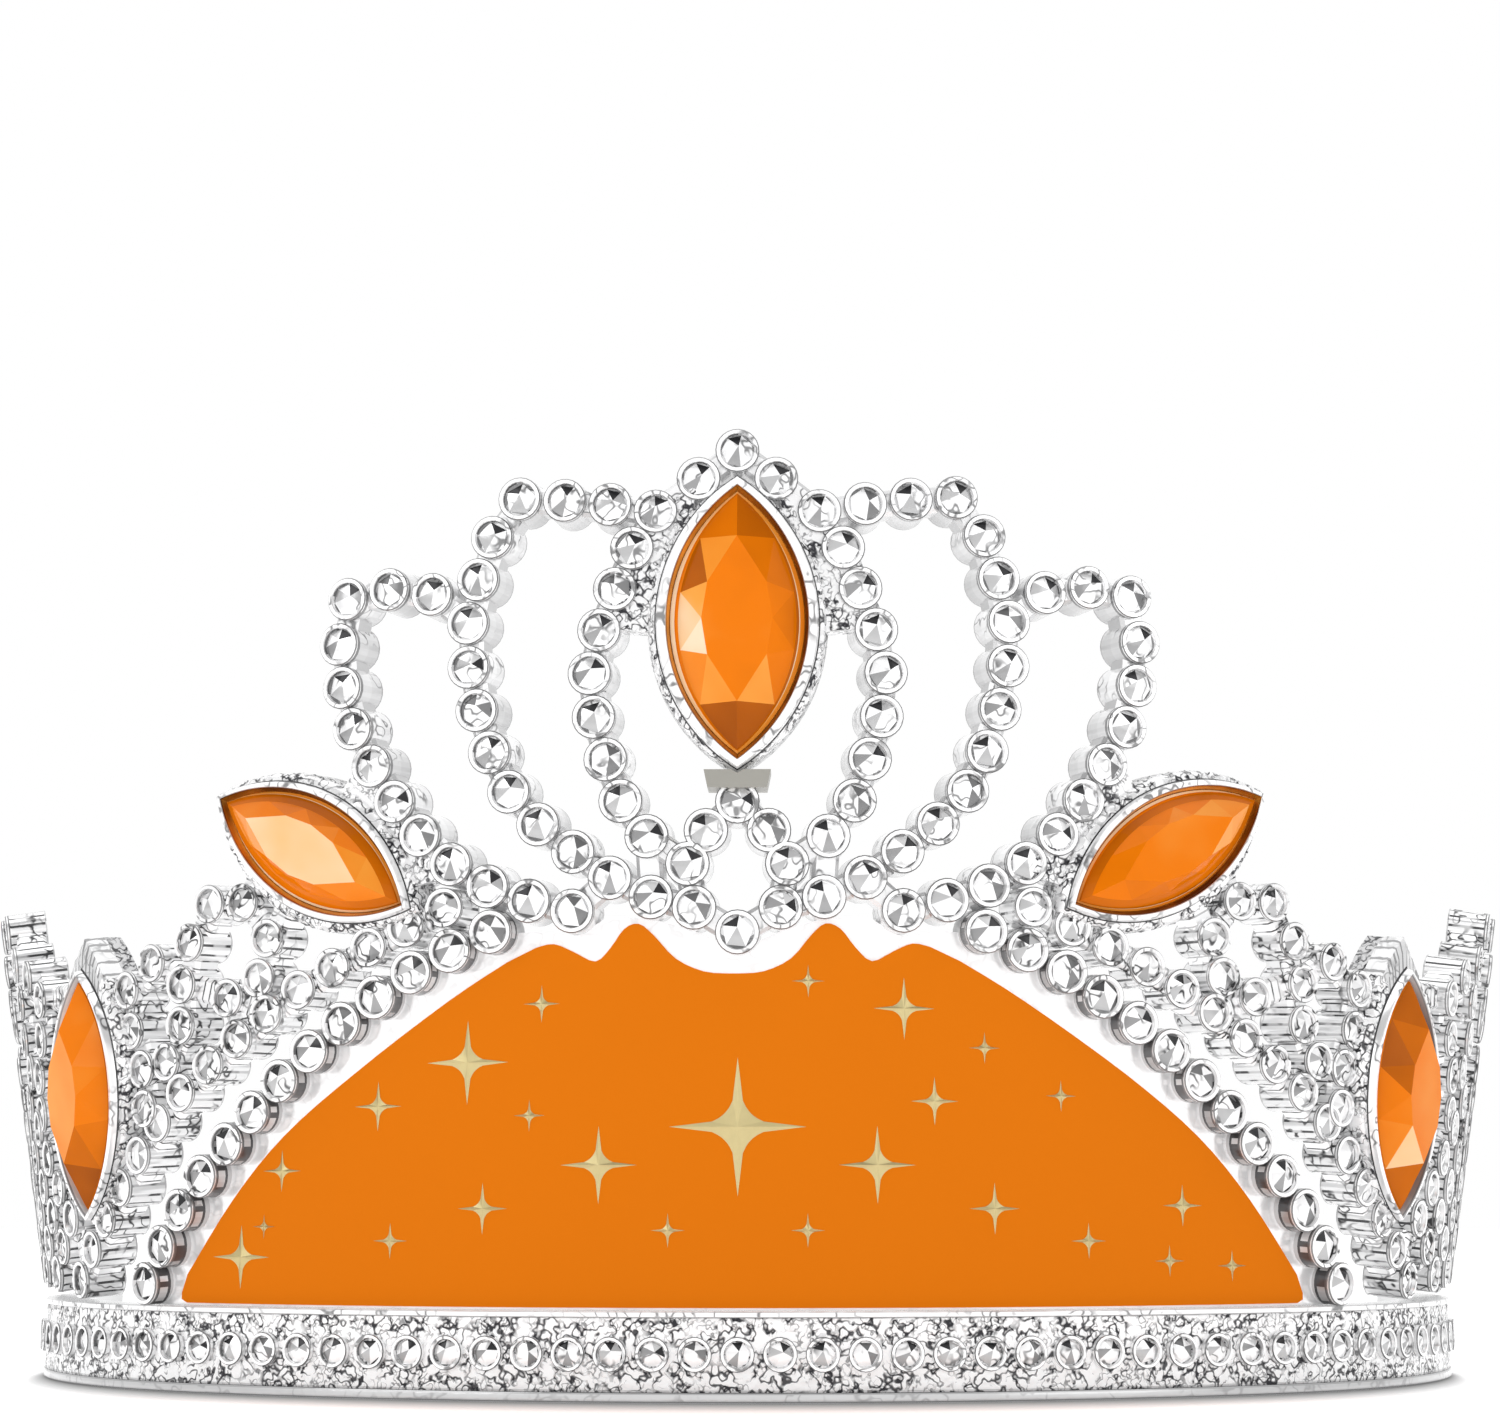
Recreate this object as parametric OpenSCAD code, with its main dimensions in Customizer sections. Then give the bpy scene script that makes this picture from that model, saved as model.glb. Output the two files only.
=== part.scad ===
/* [Plan of the wall] */
// Radius of the front arc, at the outer face of the band
front_radius = 101; // [95:1:108]
// Radius of each side arc, at the outer face of the band
side_radius = 51.9; // [50:0.1:53]
// Heading, from straight ahead, where the front arc meets a side arc
front_heading = 30.5; // [29:0.5:32]
// Heading at which the band ends behind the ears
end_heading = 100; // [97:1:106]
// Forward lean of the front wall above the band, in degrees
front_lean = 2.25; // [1:0.25:3]
// Outward flare of the wall above the band where it faces straight to the side, in degrees
side_flare = 10.8; // [10:0.1:11.6]

/* [Base band] */
// Height of the base band
band_height = 8.2; // [7.8:0.1:8.4]
// Depth of the band and of all the openwork, front to back
wall_depth = 4.2; // [3.8:0.1:4.6]
// Height of the smooth lip along the bottom of the band
lip_height = 1.1; // [0.8:0.1:1.6]
// Height of the smooth rim along the top of the band
rim_height = 0.6; // [0.4:0.1:0.9]
// How far the rough strip between lip and rim lies back
strip_recess = 0.2; // [0.1:0.05:0.6]

/* [Small stones of the band] */
// Number of moulded stones on each side of the middle one
band_stones_a_side = 25; // [20:1:26]
// Distance from one band stone to the next
band_stone_pitch = 3.91; // [3.7:0.01:3.95]
// Diameter of a band stone's collet
band_stone_d = 3.1; // [2.8:0.1:3.3]
// How far a band stone's collet stands in front of the band's outer face
band_stone_front = 0.2; // [0.1:0.05:0.4]

/* [Bead drums] */
// Diameter of a bead drum on the crest and round the front plate
drum_d = 3.8; // [3.4:0.1:3.9]
// Diameter of a bead drum in the side openwork
side_drum_d = 3.5; // [3.1:0.1:3.6]
// How far a drum stands in front of the wall's outer face
drum_front = 0.1; // [0:0.05:0.3]
// Height of the moulded stone on each drum
stone_rise = 0.4; // [0.2:0.05:0.6]
// Width of the bars that join one drum to the next
bar_width = 2.6; // [1.6:0.1:2.8]
// Depth of those bars, front to back
bar_depth = 3.1; // [1.8:0.1:3.2]
// How far the bars stop short of the back
bar_back = 0.4; // [0.2:0.1:0.8]
// How far the webs beside the settings stand in front of the bars
web_front = 0.35; // [0.2:0.05:0.6]

/* [Front plate and label] */
// How far the plate's face lies behind the band's outer face
plate_recess = 2.2; // [1.8:0.1:2.6]
// Thickness of the coloured label
label_t = 0.3; // [0.2:0.05:0.4]
// Thickness of the raised stars on the label
star_t = 0.15; // [0.1:0.05:0.3]

/* [Stones and settings] */
// Half width of the centre stone
centre_stone_a = 6.7; // [6.2:0.1:6.9]
// Half length of the centre stone
centre_stone_b = 13.1; // [12.8:0.1:13.3]
// Half width of the two front stones
front_stone_a = 5.1; // [4.8:0.1:5.6]
// Half length of the two front stones
front_stone_b = 11.8; // [11.4:0.1:12]
// Half width of the two side stones
side_stone_a = 6.3; // [6:0.1:6.5]
// Half length of the two side stones
side_stone_b = 12.1; // [11.8:0.1:12.5]
// Height of a stone's crown above the setting's rim
crown_rise = 1.9; // [1.4:0.1:2.2]
// How far a setting's rim stands in front of the wall's outer face
rim_front = 1.1; // [0.9:0.1:1.4]

/* [Hidden] */
$fn = 72;

gap = 0.1;
deg = 180 / PI;

// How far a cutting shape runs past what it cuts.
past = 1;
front_length = front_radius * front_heading / deg;
rib = 0.06;
plate_end_heading = 38;

// A stone's table as a share of the stone, and the height of its straight edge.
table = 0.58;
girdle = 1.7;

// How far the floor of a stone's seat lies below the rim.
seat_drop = 1.9;
stone_back = rim_front - seat_drop + gap / 2;
stone_front = stone_back + girdle + gap + crown_rise;

// Where things stand on the wall: [distance along the band from the middle, height].
centre_at = [0, 72.1];
front_at = [41.5, 51.5];
front_turn = 61.3;
side_at = [71.6, 28.9];

// Rows of drums: [drum count, points that the row runs through].
plate_row = [13, [[63.1, 10.25], [58, 17.4], [52, 23.7], [42.3, 32.3], [31.2, 39.6], [23.3, 43.2]]];
plate_top_row = [[19.5, 41.3], [15.4, 40.8], [12.4, 42.6], [8.2, 42.4], [4.1, 41.2], [0, 39.4]];
crest_shoulder = [4, [[20.5, 84.6], [14, 84], [7.6, 82.9]]];
crest_middle = [11, [[23.2, 81], [25.7, 70.5], [21.8, 56.8], [12.2, 48.3], [8, 46.2]]];
crest_inner = [8, [[9.8, 79.4], [13.8, 67.3], [10.9, 55.4], [8.4, 51.9]]];
crest_wing_top = [3, [[29.2, 75.8], [33.7, 76.6], [38.1, 76]]];
crest_wing = [10, [[39, 71.6], [37.6, 63.4], [30.5, 52.7], [23.4, 47.4], [15.4, 45]]];
crest_peak = [[3.6, 86], [0, 88.7]];
crest_ring = [[0, 55.1], [2.9, 52.4], [4.6, 49.3], [4, 45.2], [0, 42.9]];

// Webs of the crest: the place each is built at, and its outline.
centre_web = [[9, 77.5], [[3.6, 85.4], [7.6, 83.2], [9.8, 79.4], [11.4, 75.5], [12.7, 71.8], [7.4, 71.3], [5, 78]]];
front_web = [[33, 52.5],
    [[36, 61], [33.1, 55.9], [30.4, 52.6], [27.2, 49.2], [29.2, 48.2], [31.5, 47.5], [34, 50], [38.6, 57.5]]];

openwork_row = [15, [[27.9, 45.6], [43.4, 38.3], [57.5, 28.9], [66.6, 19.7], [75.7, 10.4]]];
openwork_loop_a = [[47.1, 43.4], [50.1, 47], [54.2, 47.1], [56.6, 43.4], [57.6, 39.3], [51.9, 37.8],
    [48.1, 39.6]];
openwork_loop_b = [[57.7, 35.3], [59.6, 31.8], [63, 31.2], [64.4, 35], [65, 39.1], [61.4, 41.6]];
openwork_tail = [62.7, 27.3];
openwork_end = [8, [[103, 37.5], [106, 27], [107.6, 10.2]]];
openwork_foot = [[7, [[98.4, 32.2], [80.4, 13.7]]], [7, [[101.2, 29.4], [83.2, 10.9]]],
    [5, [[101.1, 23.5], [89.1, 11.2]]], [3, [[101, 17.6], [94.9, 11.5]]]];

// Heading of the wall, in degrees from straight ahead, at a distance along the band.
function heading(s) = abs(s) < front_length ? s / front_radius * deg
    : sign(s) * (front_heading + (abs(s) - front_length) / side_radius * deg);

// Flare of the wall at a heading.
function flare(h) = front_lean
    + (side_flare - front_lean) * max(0, abs(h) - front_heading) / (90 - front_heading);

// Plan of the band's outer face at a heading.
function plan_x(h) = let(a = abs(h), m = min(a, front_heading), n = max(a, front_heading))
    sign(h) * (front_radius * sin(m) + side_radius * (sin(n) - sin(front_heading)));
function plan_y(h) = let(a = abs(h), m = min(a, front_heading), n = max(a, front_heading))
    front_radius * (1 - cos(m)) + side_radius * (cos(front_heading) - cos(n));

// How far back the middle of the plan lies from the middle of the band's outer face.
depth_shift = (stone_front + (centre_at.y + centre_stone_b * table - band_height) * tan(front_lean)
    - plan_y(end_heading) - wall_depth / 2 * (1 + cos(end_heading)) + rib) / 2;

// A point of the wall, which is upright up to the band's top: along the band, up, and out from the band's face.
function wall_point(s, z, out = 0) = let(h = heading(s), o = out + max(0, z - band_height) * tan(flare(h)))
    [plan_x(h) + o * sin(h), plan_y(h) - o * cos(h), z];

// A smooth curve through a few points, and a number of places spaced evenly along it.
function curve(p, steps = 8) = let(n = len(p) - 1) [
    for (i = [0:n - 1], k = [0:i == n - 1 ? steps : steps - 1])
        let(t = k / steps, a = p[max(i - 1, 0)], b = p[i], c = p[i + 1], d = p[min(i + 2, n)])
        (2 * b + (c - a) * t + (2 * a - 5 * b + 4 * c - d) * t * t + (3 * b - a - 3 * c + d) * t * t * t) / 2
];
function lengths(c) = [
    for (i = 0, d = 0; i < len(c); d = d + (i + 1 < len(c) ? norm(c[i + 1] - c[i]) : 0), i = i + 1) d
];
function spaced(row) = let(n = row[0], c = curve(row[1]), d = lengths(c), last = len(c) - 1) [
    for (k = [0:n - 1])
        let(at = d[last] * k / (n - 1))
        [lookup(at, [for (i = [0:last]) [d[i], c[i].x]]), lookup(at, [for (i = [0:last]) [d[i], c[i].y]])]
];

// The back flank of the openwork mirrors the front flank about this distance along the band.
flank_middle = 73.6;
function flipped(beads) = [for (b = beads) [2 * flank_middle - b.x, b.y]];

// Local frame on the wall: X along it, Z up it and -Y out of it.
module on_wall(at) {
    h = heading(at.x);
    lean = at.y > band_height ? flare(h) : 0;
    translate([0, depth_shift, 0] + wall_point(at.x, at.y)) rotate([0, 0, h]) rotate([lean, 0, 0]) children();
}

// Turns a shape that is drawn flat and raised in Z to face out of the wall.
module facing_out(back) {
    translate([0, back, 0]) rotate([90, 0, 0]) children();
}

module both_sides() {
    children();
    mirror([1, 0, 0]) children();
}

// One bead: a round drum with a flat-topped stone moulded on its face.
module drum(at, d, back = wall_depth) {
    on_wall(at) facing_out(back) {
        cylinder(h = back + drum_front, d = d);
        translate([0, 0, back + drum_front]) cylinder(h = stone_rise, r1 = d * 0.38, r2 = d * 0.2);
    }
}

// The room that a drum and its small gap take out of a neighbouring piece.
module drum_room(at) {
    on_wall(at) facing_out(wall_depth + past)
        cylinder(h = wall_depth + drum_front + 2 * past, d = drum_d + 2 * gap);
}

// A bar along the back from one drum to the next.
module bar(p, q) {
    run = q - p;
    on_wall((p + q) / 2) rotate([0, -atan2(run.y, run.x), 0])
        translate([-norm(run) / 2, wall_depth - bar_back - bar_depth, -bar_width / 2])
            cube([norm(run), bar_depth, bar_width]);
}

// A web that fills the corner between drums and a setting: its outline as [along, up], flat on the wall at a place.
module web(at, outline) {
    on_wall(at) facing_out(wall_depth - bar_back - web_front) linear_extrude(height = bar_depth)
        polygon([for (p = outline) p - at]);
}

module drums(beads, d) {
    for (b = beads) drum(b, d);
}

module bars(beads) {
    for (i = [1:len(beads) - 1]) bar(beads[i - 1], beads[i]);
}

// A wall profile, given as points of [out, height], swept on the front arc from one heading to another.
module front_sweep(profile, from, to) {
    translate([0, depth_shift + front_radius, 0]) rotate([0, 0, from - 90])
        rotate_extrude(angle = to - from, $fn = 240) polygon([for (p = profile) [front_radius + p.x, p.y]]);
}

// The same on the right side arc, from the end of the front arc.
module side_sweep(profile, to) {
    translate([
        (front_radius - side_radius) * sin(front_heading),
        depth_shift + front_radius - (front_radius - side_radius) * cos(front_heading),
        0,
    ])
        rotate([0, 0, front_heading - 90]) rotate_extrude(angle = to - front_heading, $fn = 160)
            polygon([for (p = profile) [side_radius + p.x, p.y]]);
}

function rectangle(back, front, low, high) = [[back, low], [front, low], [front, high], [back, high]];

// A leaning skin on the front arc, between two depths and two heights.
module plate_skin(back, front, low, high) {
    lean = tan(front_lean);
    front_sweep([for (p = rectangle(back, front, low, high)) p + [(p.y - band_height) * lean, 0]],
        -plate_end_heading, plate_end_heading);
}

// Cuts straight through from the front along an outline of [across, up].
module front_cut(outline) {
    rotate([90, 0, 0]) translate([0, 0, -front_radius]) linear_extrude(height = 2 * front_radius)
        polygon(outline);
}

// A right half outline, from the bottom corner to the middle, and its mirror image.
function whole(half) = concat(half, [for (i = [len(half) - 1:-1:0]) [-half[i].x, half[i].y]]);

module base_band() {
    top = band_height;
    profile = [
        [-wall_depth, 0], [0, 0], [0, lip_height], [-strip_recess, lip_height],
        [-strip_recess, top - rim_height], [0, top - rim_height], [0, top], [-wall_depth, top],
    ];
    color("silver") {
        front_sweep(profile, -front_heading, front_heading);
        both_sides() {
            side_sweep(profile, end_heading);
            // A low rib where two lengths of the mould meet.
            front_sweep(rectangle(-wall_depth - rib, rib, rib, top - rib),
                front_heading - 0.5, front_heading + 0.5);
            translate([
                plan_x(end_heading) - wall_depth / 2 * sin(end_heading),
                depth_shift + plan_y(end_heading) + wall_depth / 2 * cos(end_heading),
                rib,
            ]) cylinder(h = top - 2 * rib, d = wall_depth - 2 * rib);
        }
        for (i = [-band_stones_a_side:band_stones_a_side])
            on_wall([i * band_stone_pitch, (lip_height + top - rim_height) / 2]) facing_out(wall_depth / 2) {
                cylinder(h = wall_depth / 2 + band_stone_front, d = band_stone_d);
                translate([0, 0, wall_depth / 2 + band_stone_front])
                    cylinder(h = stone_rise, r1 = band_stone_d * 0.38, r2 = band_stone_d * 0.2);
            }
    }
}

function plate_outline() = whole([
    [wall_point(plate_row[1][0].x, 0, -plate_recess).x, band_height + gap / 2],
    for (b = spaced(plate_row)) let(w = wall_point(b.x, b.y, -plate_recess)) [w.x, w.z],
    for (b = plate_top_row) let(w = wall_point(b.x, b.y + 2, -plate_recess)) [w.x, w.z],
]);

module front_plate() {
    color("gainsboro") {
        difference() {
            intersection() {
                plate_skin(-wall_depth, -plate_recess, band_height + gap / 2, centre_at.y);
                front_cut(plate_outline());
            }
            both_sides() for (b = concat(spaced(crest_wing), spaced(crest_middle), crest_ring))
                drum_room(b);
        }
        both_sides() drums(spaced(plate_row), drum_d);
    }
}

// Crest: the curved bars of drums round the centre stone and the ring under it.
module crest() {
    shoulder = spaced(crest_shoulder);
    middle = spaced(crest_middle);
    inner = spaced(crest_inner);
    wing_top = spaced(crest_wing_top);
    wing = spaced(crest_wing);
    color("silver") difference() {
        union() {
            both_sides() {
                for (row = [shoulder, middle, inner, wing_top, wing]) drums(row, drum_d);
                for (row = [shoulder, middle, inner, wing_top, wing, crest_ring]) bars(row);
                bar(shoulder[0], middle[0]);
                bar(shoulder[3], inner[0]);
                bar(shoulder[3], crest_peak[0]);
                bar(crest_peak[0], crest_peak[1]);
                bar(wing_top[0], middle[2]);
                bar(wing_top[2], wing[0]);
                bar(inner[7], middle[10]);
                bar(inner[7], crest_ring[2]);
                bar(middle[10], crest_ring[3]);
                bar(wing[9], middle[9]);
                drum(crest_peak[0], drum_d);
                for (i = [1:3]) drum(crest_ring[i], drum_d);
                web(centre_web[0], centre_web[1]);
                web(front_web[0], front_web[1]);
            }
            drum(crest_peak[1], drum_d);
            drum(crest_ring[0], drum_d);
            drum(crest_ring[4], drum_d);
        }
        setting_room(centre_at, 0, centre_stone_a, centre_stone_b);
        both_sides() setting_room(front_at, front_turn, front_stone_a, front_stone_b);
        tab_block(gap);
    }
}

module right_half_openwork() {
    low = spaced(openwork_row);
    back_end = spaced(openwork_end);
    loop_a = openwork_loop_a;
    loop_b = openwork_loop_b;
    back_a = flipped(loop_a);
    back_b = flipped(loop_b);
    back_low = flipped([for (i = [8:12]) low[i]]);
    foot = [for (row = openwork_foot) spaced(row)];
    difference() {
        union() {
            for (row = concat([low, loop_a, loop_b, back_a, back_b, back_low, back_end], foot)) {
                drums(row, side_drum_d);
                bars(row);
            }
            for (k = [[loop_a, loop_b, openwork_tail], [back_a, back_b, flipped([openwork_tail])[0]]]) {
                drum(k[2], side_drum_d);
                bar(k[0][6], k[0][0]);
                bar(k[0][4], k[1][0]);
                bar(k[1][5], k[0][4]);
                bar(k[1][2], k[2]);
                for (b = [k[1][2], k[1][4], k[2]]) bar(b, [side_at.x, b.y]);
            }
            bar(loop_a[5], low[6]);
            bar(loop_a[5], low[5]);
            bar(loop_b[1], low[8]);
            bar(openwork_tail, low[9]);
            bar(low[11], low[11] + [5, 2]);
            bar(back_low[3], back_low[3] + [-5, 2]);
            bar(back_b[1], back_low[0]);
            bar(back_a[6], back_end[0]);
            bar(back_low[4], low[14]);
            for (i = [0:4]) bar(back_low[i], foot[0][i + 2]);
            for (i = [0:6]) bar(foot[0][i], foot[1][i]);
            for (i = [0:4]) bar(foot[1][i + 1], foot[2][i]);
            for (i = [0:2]) bar(foot[2][i + 1], foot[3][i]);
            bar(foot[1][0], back_end[2]);
            bar(foot[3][0], back_end[5]);
            bar(loop_a[0], front_at + [4, -5]);
            bar(low[2], front_at + [-6, -6]);
            bar(loop_a[1], front_at + [7, -1]);
        }
        setting_room(side_at, 0, side_stone_a, side_stone_b, side_skirt, side_skirt_rise);
        setting_room(front_at, front_turn, front_stone_a, front_stone_b);
        for (b = concat(spaced(plate_row), spaced(crest_wing))) drum_room(b);
    }
}

module left_openwork() {
    color("silver") mirror([1, 0, 0]) right_half_openwork();
}

module right_openwork() {
    color("silver") right_half_openwork();
}

// A pointed oval prism or taper, flat and raised in Z: half width, half length, height, and inset at the top.
module marquise(a, b, h, inset = 0) {
    r = (a * a + b * b) / (2 * a);
    intersection() {
        translate([r - a, 0, 0]) cylinder(h = h, r1 = r, r2 = r - inset, $fn = 180);
        translate([a - r, 0, 0]) cylinder(h = h, r1 = r, r2 = r - inset, $fn = 180);
    }
}

// How far a setting's skirt reaches past the stone: [across, along]. It is narrow where drums stand close by,
// and the side settings' skirts reach further past the upper tip.
skirt = [1.9, 1.2];
side_skirt = [0.95, 2.4];
side_skirt_rise = 1.4;

// Width of the smooth rim round each kind of stone, and how much less it is at the tips.
centre_rim = 0.95;
front_rim = 0.65;
side_rim = 0.55;
rim_tip_loss = 0.15;

// The skirt stops this far behind the rim and tapers this much. The seat leaves the stone this much room.
skirt_drop = 1.2;
skirt_taper = 0.1;
seat_room = [0.06, 0.1];

// The room that a setting and its small gap take out of the openwork.
module setting_room(at, turn, a, b, reach = skirt, rise = 0) {
    on_wall(at) rotate([0, turn, 0]) facing_out(wall_depth + past)
        translate([0, rise, 0]) marquise(a + reach.x + gap, b + reach.y + gap, wall_depth + stone_front + 2 * past);
}

// A cup with a smooth rim and a wider skirt behind it, with a floor that backs the stone.
module setting(at, turn, a, b, rim, reach = skirt, rise = 0) {
    height = wall_depth + rim_front;
    color("silver") on_wall(at) rotate([0, turn, 0]) facing_out(wall_depth) difference() {
        union() {
            marquise(a + rim, b + rim - rim_tip_loss, height);
            translate([0, rise, 0]) marquise(a + reach.x, b + reach.y, height - skirt_drop, skirt_taper);
        }
        translate([0, 0, height - seat_drop]) marquise(a + seat_room.x, b + seat_room.y, seat_drop + past);
    }
}

// Points of a pointed oval, evenly spaced round it, from its top.
function oval(n, a, b, shift, z) = let(r = (a * a + b * b) / (2 * a), half = asin(b / r)) [
    for (i = [0:n - 1])
        let(u = (i + shift) / n, t = u < 0.5 ? half * (1 - 4 * u) : half * (4 * u - 3), side = u < 0.5 ? 1 : -1)
        [side * (r * cos(t) - (r - a)), r * sin(t), z]
];

// A cut stone: a flat table, a ring of triangular facets, and a flat foiled back.
module stone(at, turn, a, b) {
    n = 14;
    points = concat(oval(n, a, b, 0, 0), oval(n, a, b, 0, girdle),
        oval(n, a * table, b * table, 0.5, stone_front - stone_back));
    faces = concat(
        [[for (i = [0:n - 1]) i], [for (i = [n - 1:-1:0]) 2 * n + i]],
        [for (i = [0:n - 1]) let(j = (i + 1) % n) [i, n + i, n + j, j]],
        [for (i = [0:n - 1]) let(j = (i + 1) % n) [n + i, 2 * n + i, n + j]],
        [for (i = [0:n - 1]) let(j = (i + 1) % n) [2 * n + i, 2 * n + j, n + j]]
    );
    color("darkorange") on_wall(at) rotate([0, turn, 0]) facing_out(wall_depth)
        translate([0, 0, wall_depth + stone_back]) polyhedron(points = points, faces = faces);
}

// The plain grey tab between the centre setting and the ring of drums: place, half widths at its top and foot,
// half height, and how far it stands in front of the wall.
tab_at = [0, 57.2];
tab_half = [3.15, 2.8];
tab_rise = 0.85;
tab_front = 0.9;

module tab_block(room) {
    top = [tab_half[0] + room, tab_rise];
    foot = [tab_half[1] + room, -tab_rise - room];
    on_wall(tab_at) facing_out(wall_depth + room) linear_extrude(height = wall_depth + tab_front + 2 * room)
        polygon([[-top.x, top.y], [-foot.x, foot.y], foot, top]);
}

module centre_tab() {
    color("darkgray") difference() {
        tab_block(0);
        setting_room(centre_at, 0, centre_stone_a, centre_stone_b);
    }
}

// Outline of the label: its right half as [across, up], from the bottom corner to the middle.
label_half = concat(
    [[54.3, band_height + 0.25], [54.9, 8.8], [54.9, 9.4]],
    curve([[54.3, 11.2], [49.4, 18.4], [44.1, 24.4], [36.9, 30.2], [27.3, 36.9], [21.4, 40.5]], 4),
    curve([[18.6, 41.8], [16.9, 42.1], [15, 41.3], [13, 40.4], [11.5, 41.7], [10.2, 43.4], [8.8, 43.9],
        [7.4, 42.8], [5.4, 40.6], [2.8, 39.4], [0.4, 39.2]], 3)
);

// The printed outline drifts a little to the left towards its top.
function drifted(outline) = [for (p = outline) [p.x - 0.55 * max(0, p.y - 30) / 14, p.y]];

module label() {
    color("darkorange") intersection() {
        plate_skin(gap / 4 - plate_recess, label_t + gap / 4 - plate_recess, band_height, centre_at.y);
        front_cut(drifted(whole(label_half)));
    }
}

// Four-pointed stars: [across, up, half size].
stars = [
    [-25.6, 31.1, 3.95], [-34.4, 27.1, 2.35], [-44.2, 21.1, 2], [-46, 15.8, 1.2], [-48.4, 12.9, 3.05],
    [-18.5, 36.5, 1.75], [-19.6, 26.1, 1.5], [6.6, 38.5, 1.55], [15.6, 36, 2.9], [23.2, 32.4, 1.5],
    [18.4, 27.4, 2.25], [30.5, 28, 1.5], [42.4, 17.8, 2], [41, 12.6, 1.5], [47.4, 12.1, 1.5],
    [0, 25, 6.4], [-13, 21.5, 3.6], [13, 21.5, 3.6], [-24, 17.5, 2.4], [24, 17.5, 2.4],
    [-6.5, 15.5, 1.6], [6.5, 15.5, 1.6], [-33, 14.5, 1.7], [33, 14.5, 1.7],
];

function star(size, steps = 5, pinch = 0.5) = [
    for (arm = [0:3], k = [0:steps - 1])
        let(t = 90 * k / steps, r = size * pow(pow(cos(t), pinch) + pow(sin(t), pinch), -1 / pinch))
        [r * cos(t + 90 * arm), r * sin(t + 90 * arm)]
];

module label_stars() {
    back = label_t + gap / 2 - plate_recess;
    color("khaki") intersection() {
        plate_skin(back, back + star_t, band_height, centre_at.y);
        union() {
            for (s = stars) front_cut([for (p = star(s[2])) p + [s[0], s[1]]]);
        }
    }
}

base_band();
front_plate();
crest();
left_openwork();
right_openwork();
centre_tab();
setting(centre_at, 0, centre_stone_a, centre_stone_b, centre_rim);  // centre_setting
mirror([1, 0, 0]) setting(front_at, front_turn, front_stone_a, front_stone_b, front_rim);  // left_front_setting
setting(front_at, front_turn, front_stone_a, front_stone_b, front_rim);  // right_front_setting
mirror([1, 0, 0]) setting(side_at, 0, side_stone_a, side_stone_b, side_rim, side_skirt, side_skirt_rise);  // left_side_setting
setting(side_at, 0, side_stone_a, side_stone_b, side_rim, side_skirt, side_skirt_rise);  // right_side_setting
stone(centre_at, 0, centre_stone_a, centre_stone_b);  // centre_stone
mirror([1, 0, 0]) stone(front_at, front_turn, front_stone_a, front_stone_b);  // left_front_stone
stone(front_at, front_turn, front_stone_a, front_stone_b);  // right_front_stone
mirror([1, 0, 0]) stone(side_at, 0, side_stone_a, side_stone_b);  // left_side_stone
stone(side_at, 0, side_stone_a, side_stone_b);  // right_side_stone
label();
label_stars();
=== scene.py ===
"""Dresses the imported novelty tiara: rough band, fluted drums, cut stones, label, stars and a studio."""

import math

import bpy
from bpy.props import FloatProperty, FloatVectorProperty, PointerProperty
from mathutils import Matrix, Vector, noise


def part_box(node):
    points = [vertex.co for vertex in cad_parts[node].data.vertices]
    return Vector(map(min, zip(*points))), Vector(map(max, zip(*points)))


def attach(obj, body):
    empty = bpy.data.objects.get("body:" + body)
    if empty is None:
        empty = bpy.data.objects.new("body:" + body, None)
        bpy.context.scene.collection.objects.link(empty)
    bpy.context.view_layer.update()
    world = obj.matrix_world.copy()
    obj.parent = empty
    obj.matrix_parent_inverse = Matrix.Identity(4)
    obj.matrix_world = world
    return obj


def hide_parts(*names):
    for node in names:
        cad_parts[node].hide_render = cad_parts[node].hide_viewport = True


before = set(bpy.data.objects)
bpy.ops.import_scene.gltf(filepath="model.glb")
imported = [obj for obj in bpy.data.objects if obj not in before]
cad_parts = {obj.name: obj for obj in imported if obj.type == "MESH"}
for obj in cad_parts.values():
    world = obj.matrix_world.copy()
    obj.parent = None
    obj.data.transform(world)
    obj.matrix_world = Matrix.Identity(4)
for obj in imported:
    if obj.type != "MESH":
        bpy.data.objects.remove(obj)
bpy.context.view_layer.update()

bl_info = {
    "name": "Novelty tiara",
    "version": (1, 0, 0),
    "blender": (4, 5, 0),
    "location": "View3D > Sidebar > Tiara",
    "description": "Builds the pieces, finishes and studio of a novelty tiara",
    "category": "Object",
}

MM = 0.001
# The band's stones stand this far out of the band's face, so its lowest Y tells where that face is.
STONE_PROUD = 0.6
FACE_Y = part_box("base_band")[0][1] / MM + STONE_PROUD

# Where things stand on the wall, in mm: distance along the band from the middle, and height.
CENTRE = (0, 72.1)
FRONT = (41.5, 51.5)
FRONT_TURN = math.radians(61.3)
SIDE = (71.6, 28.9)
FLANK_MIDDLE = 73.6

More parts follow.
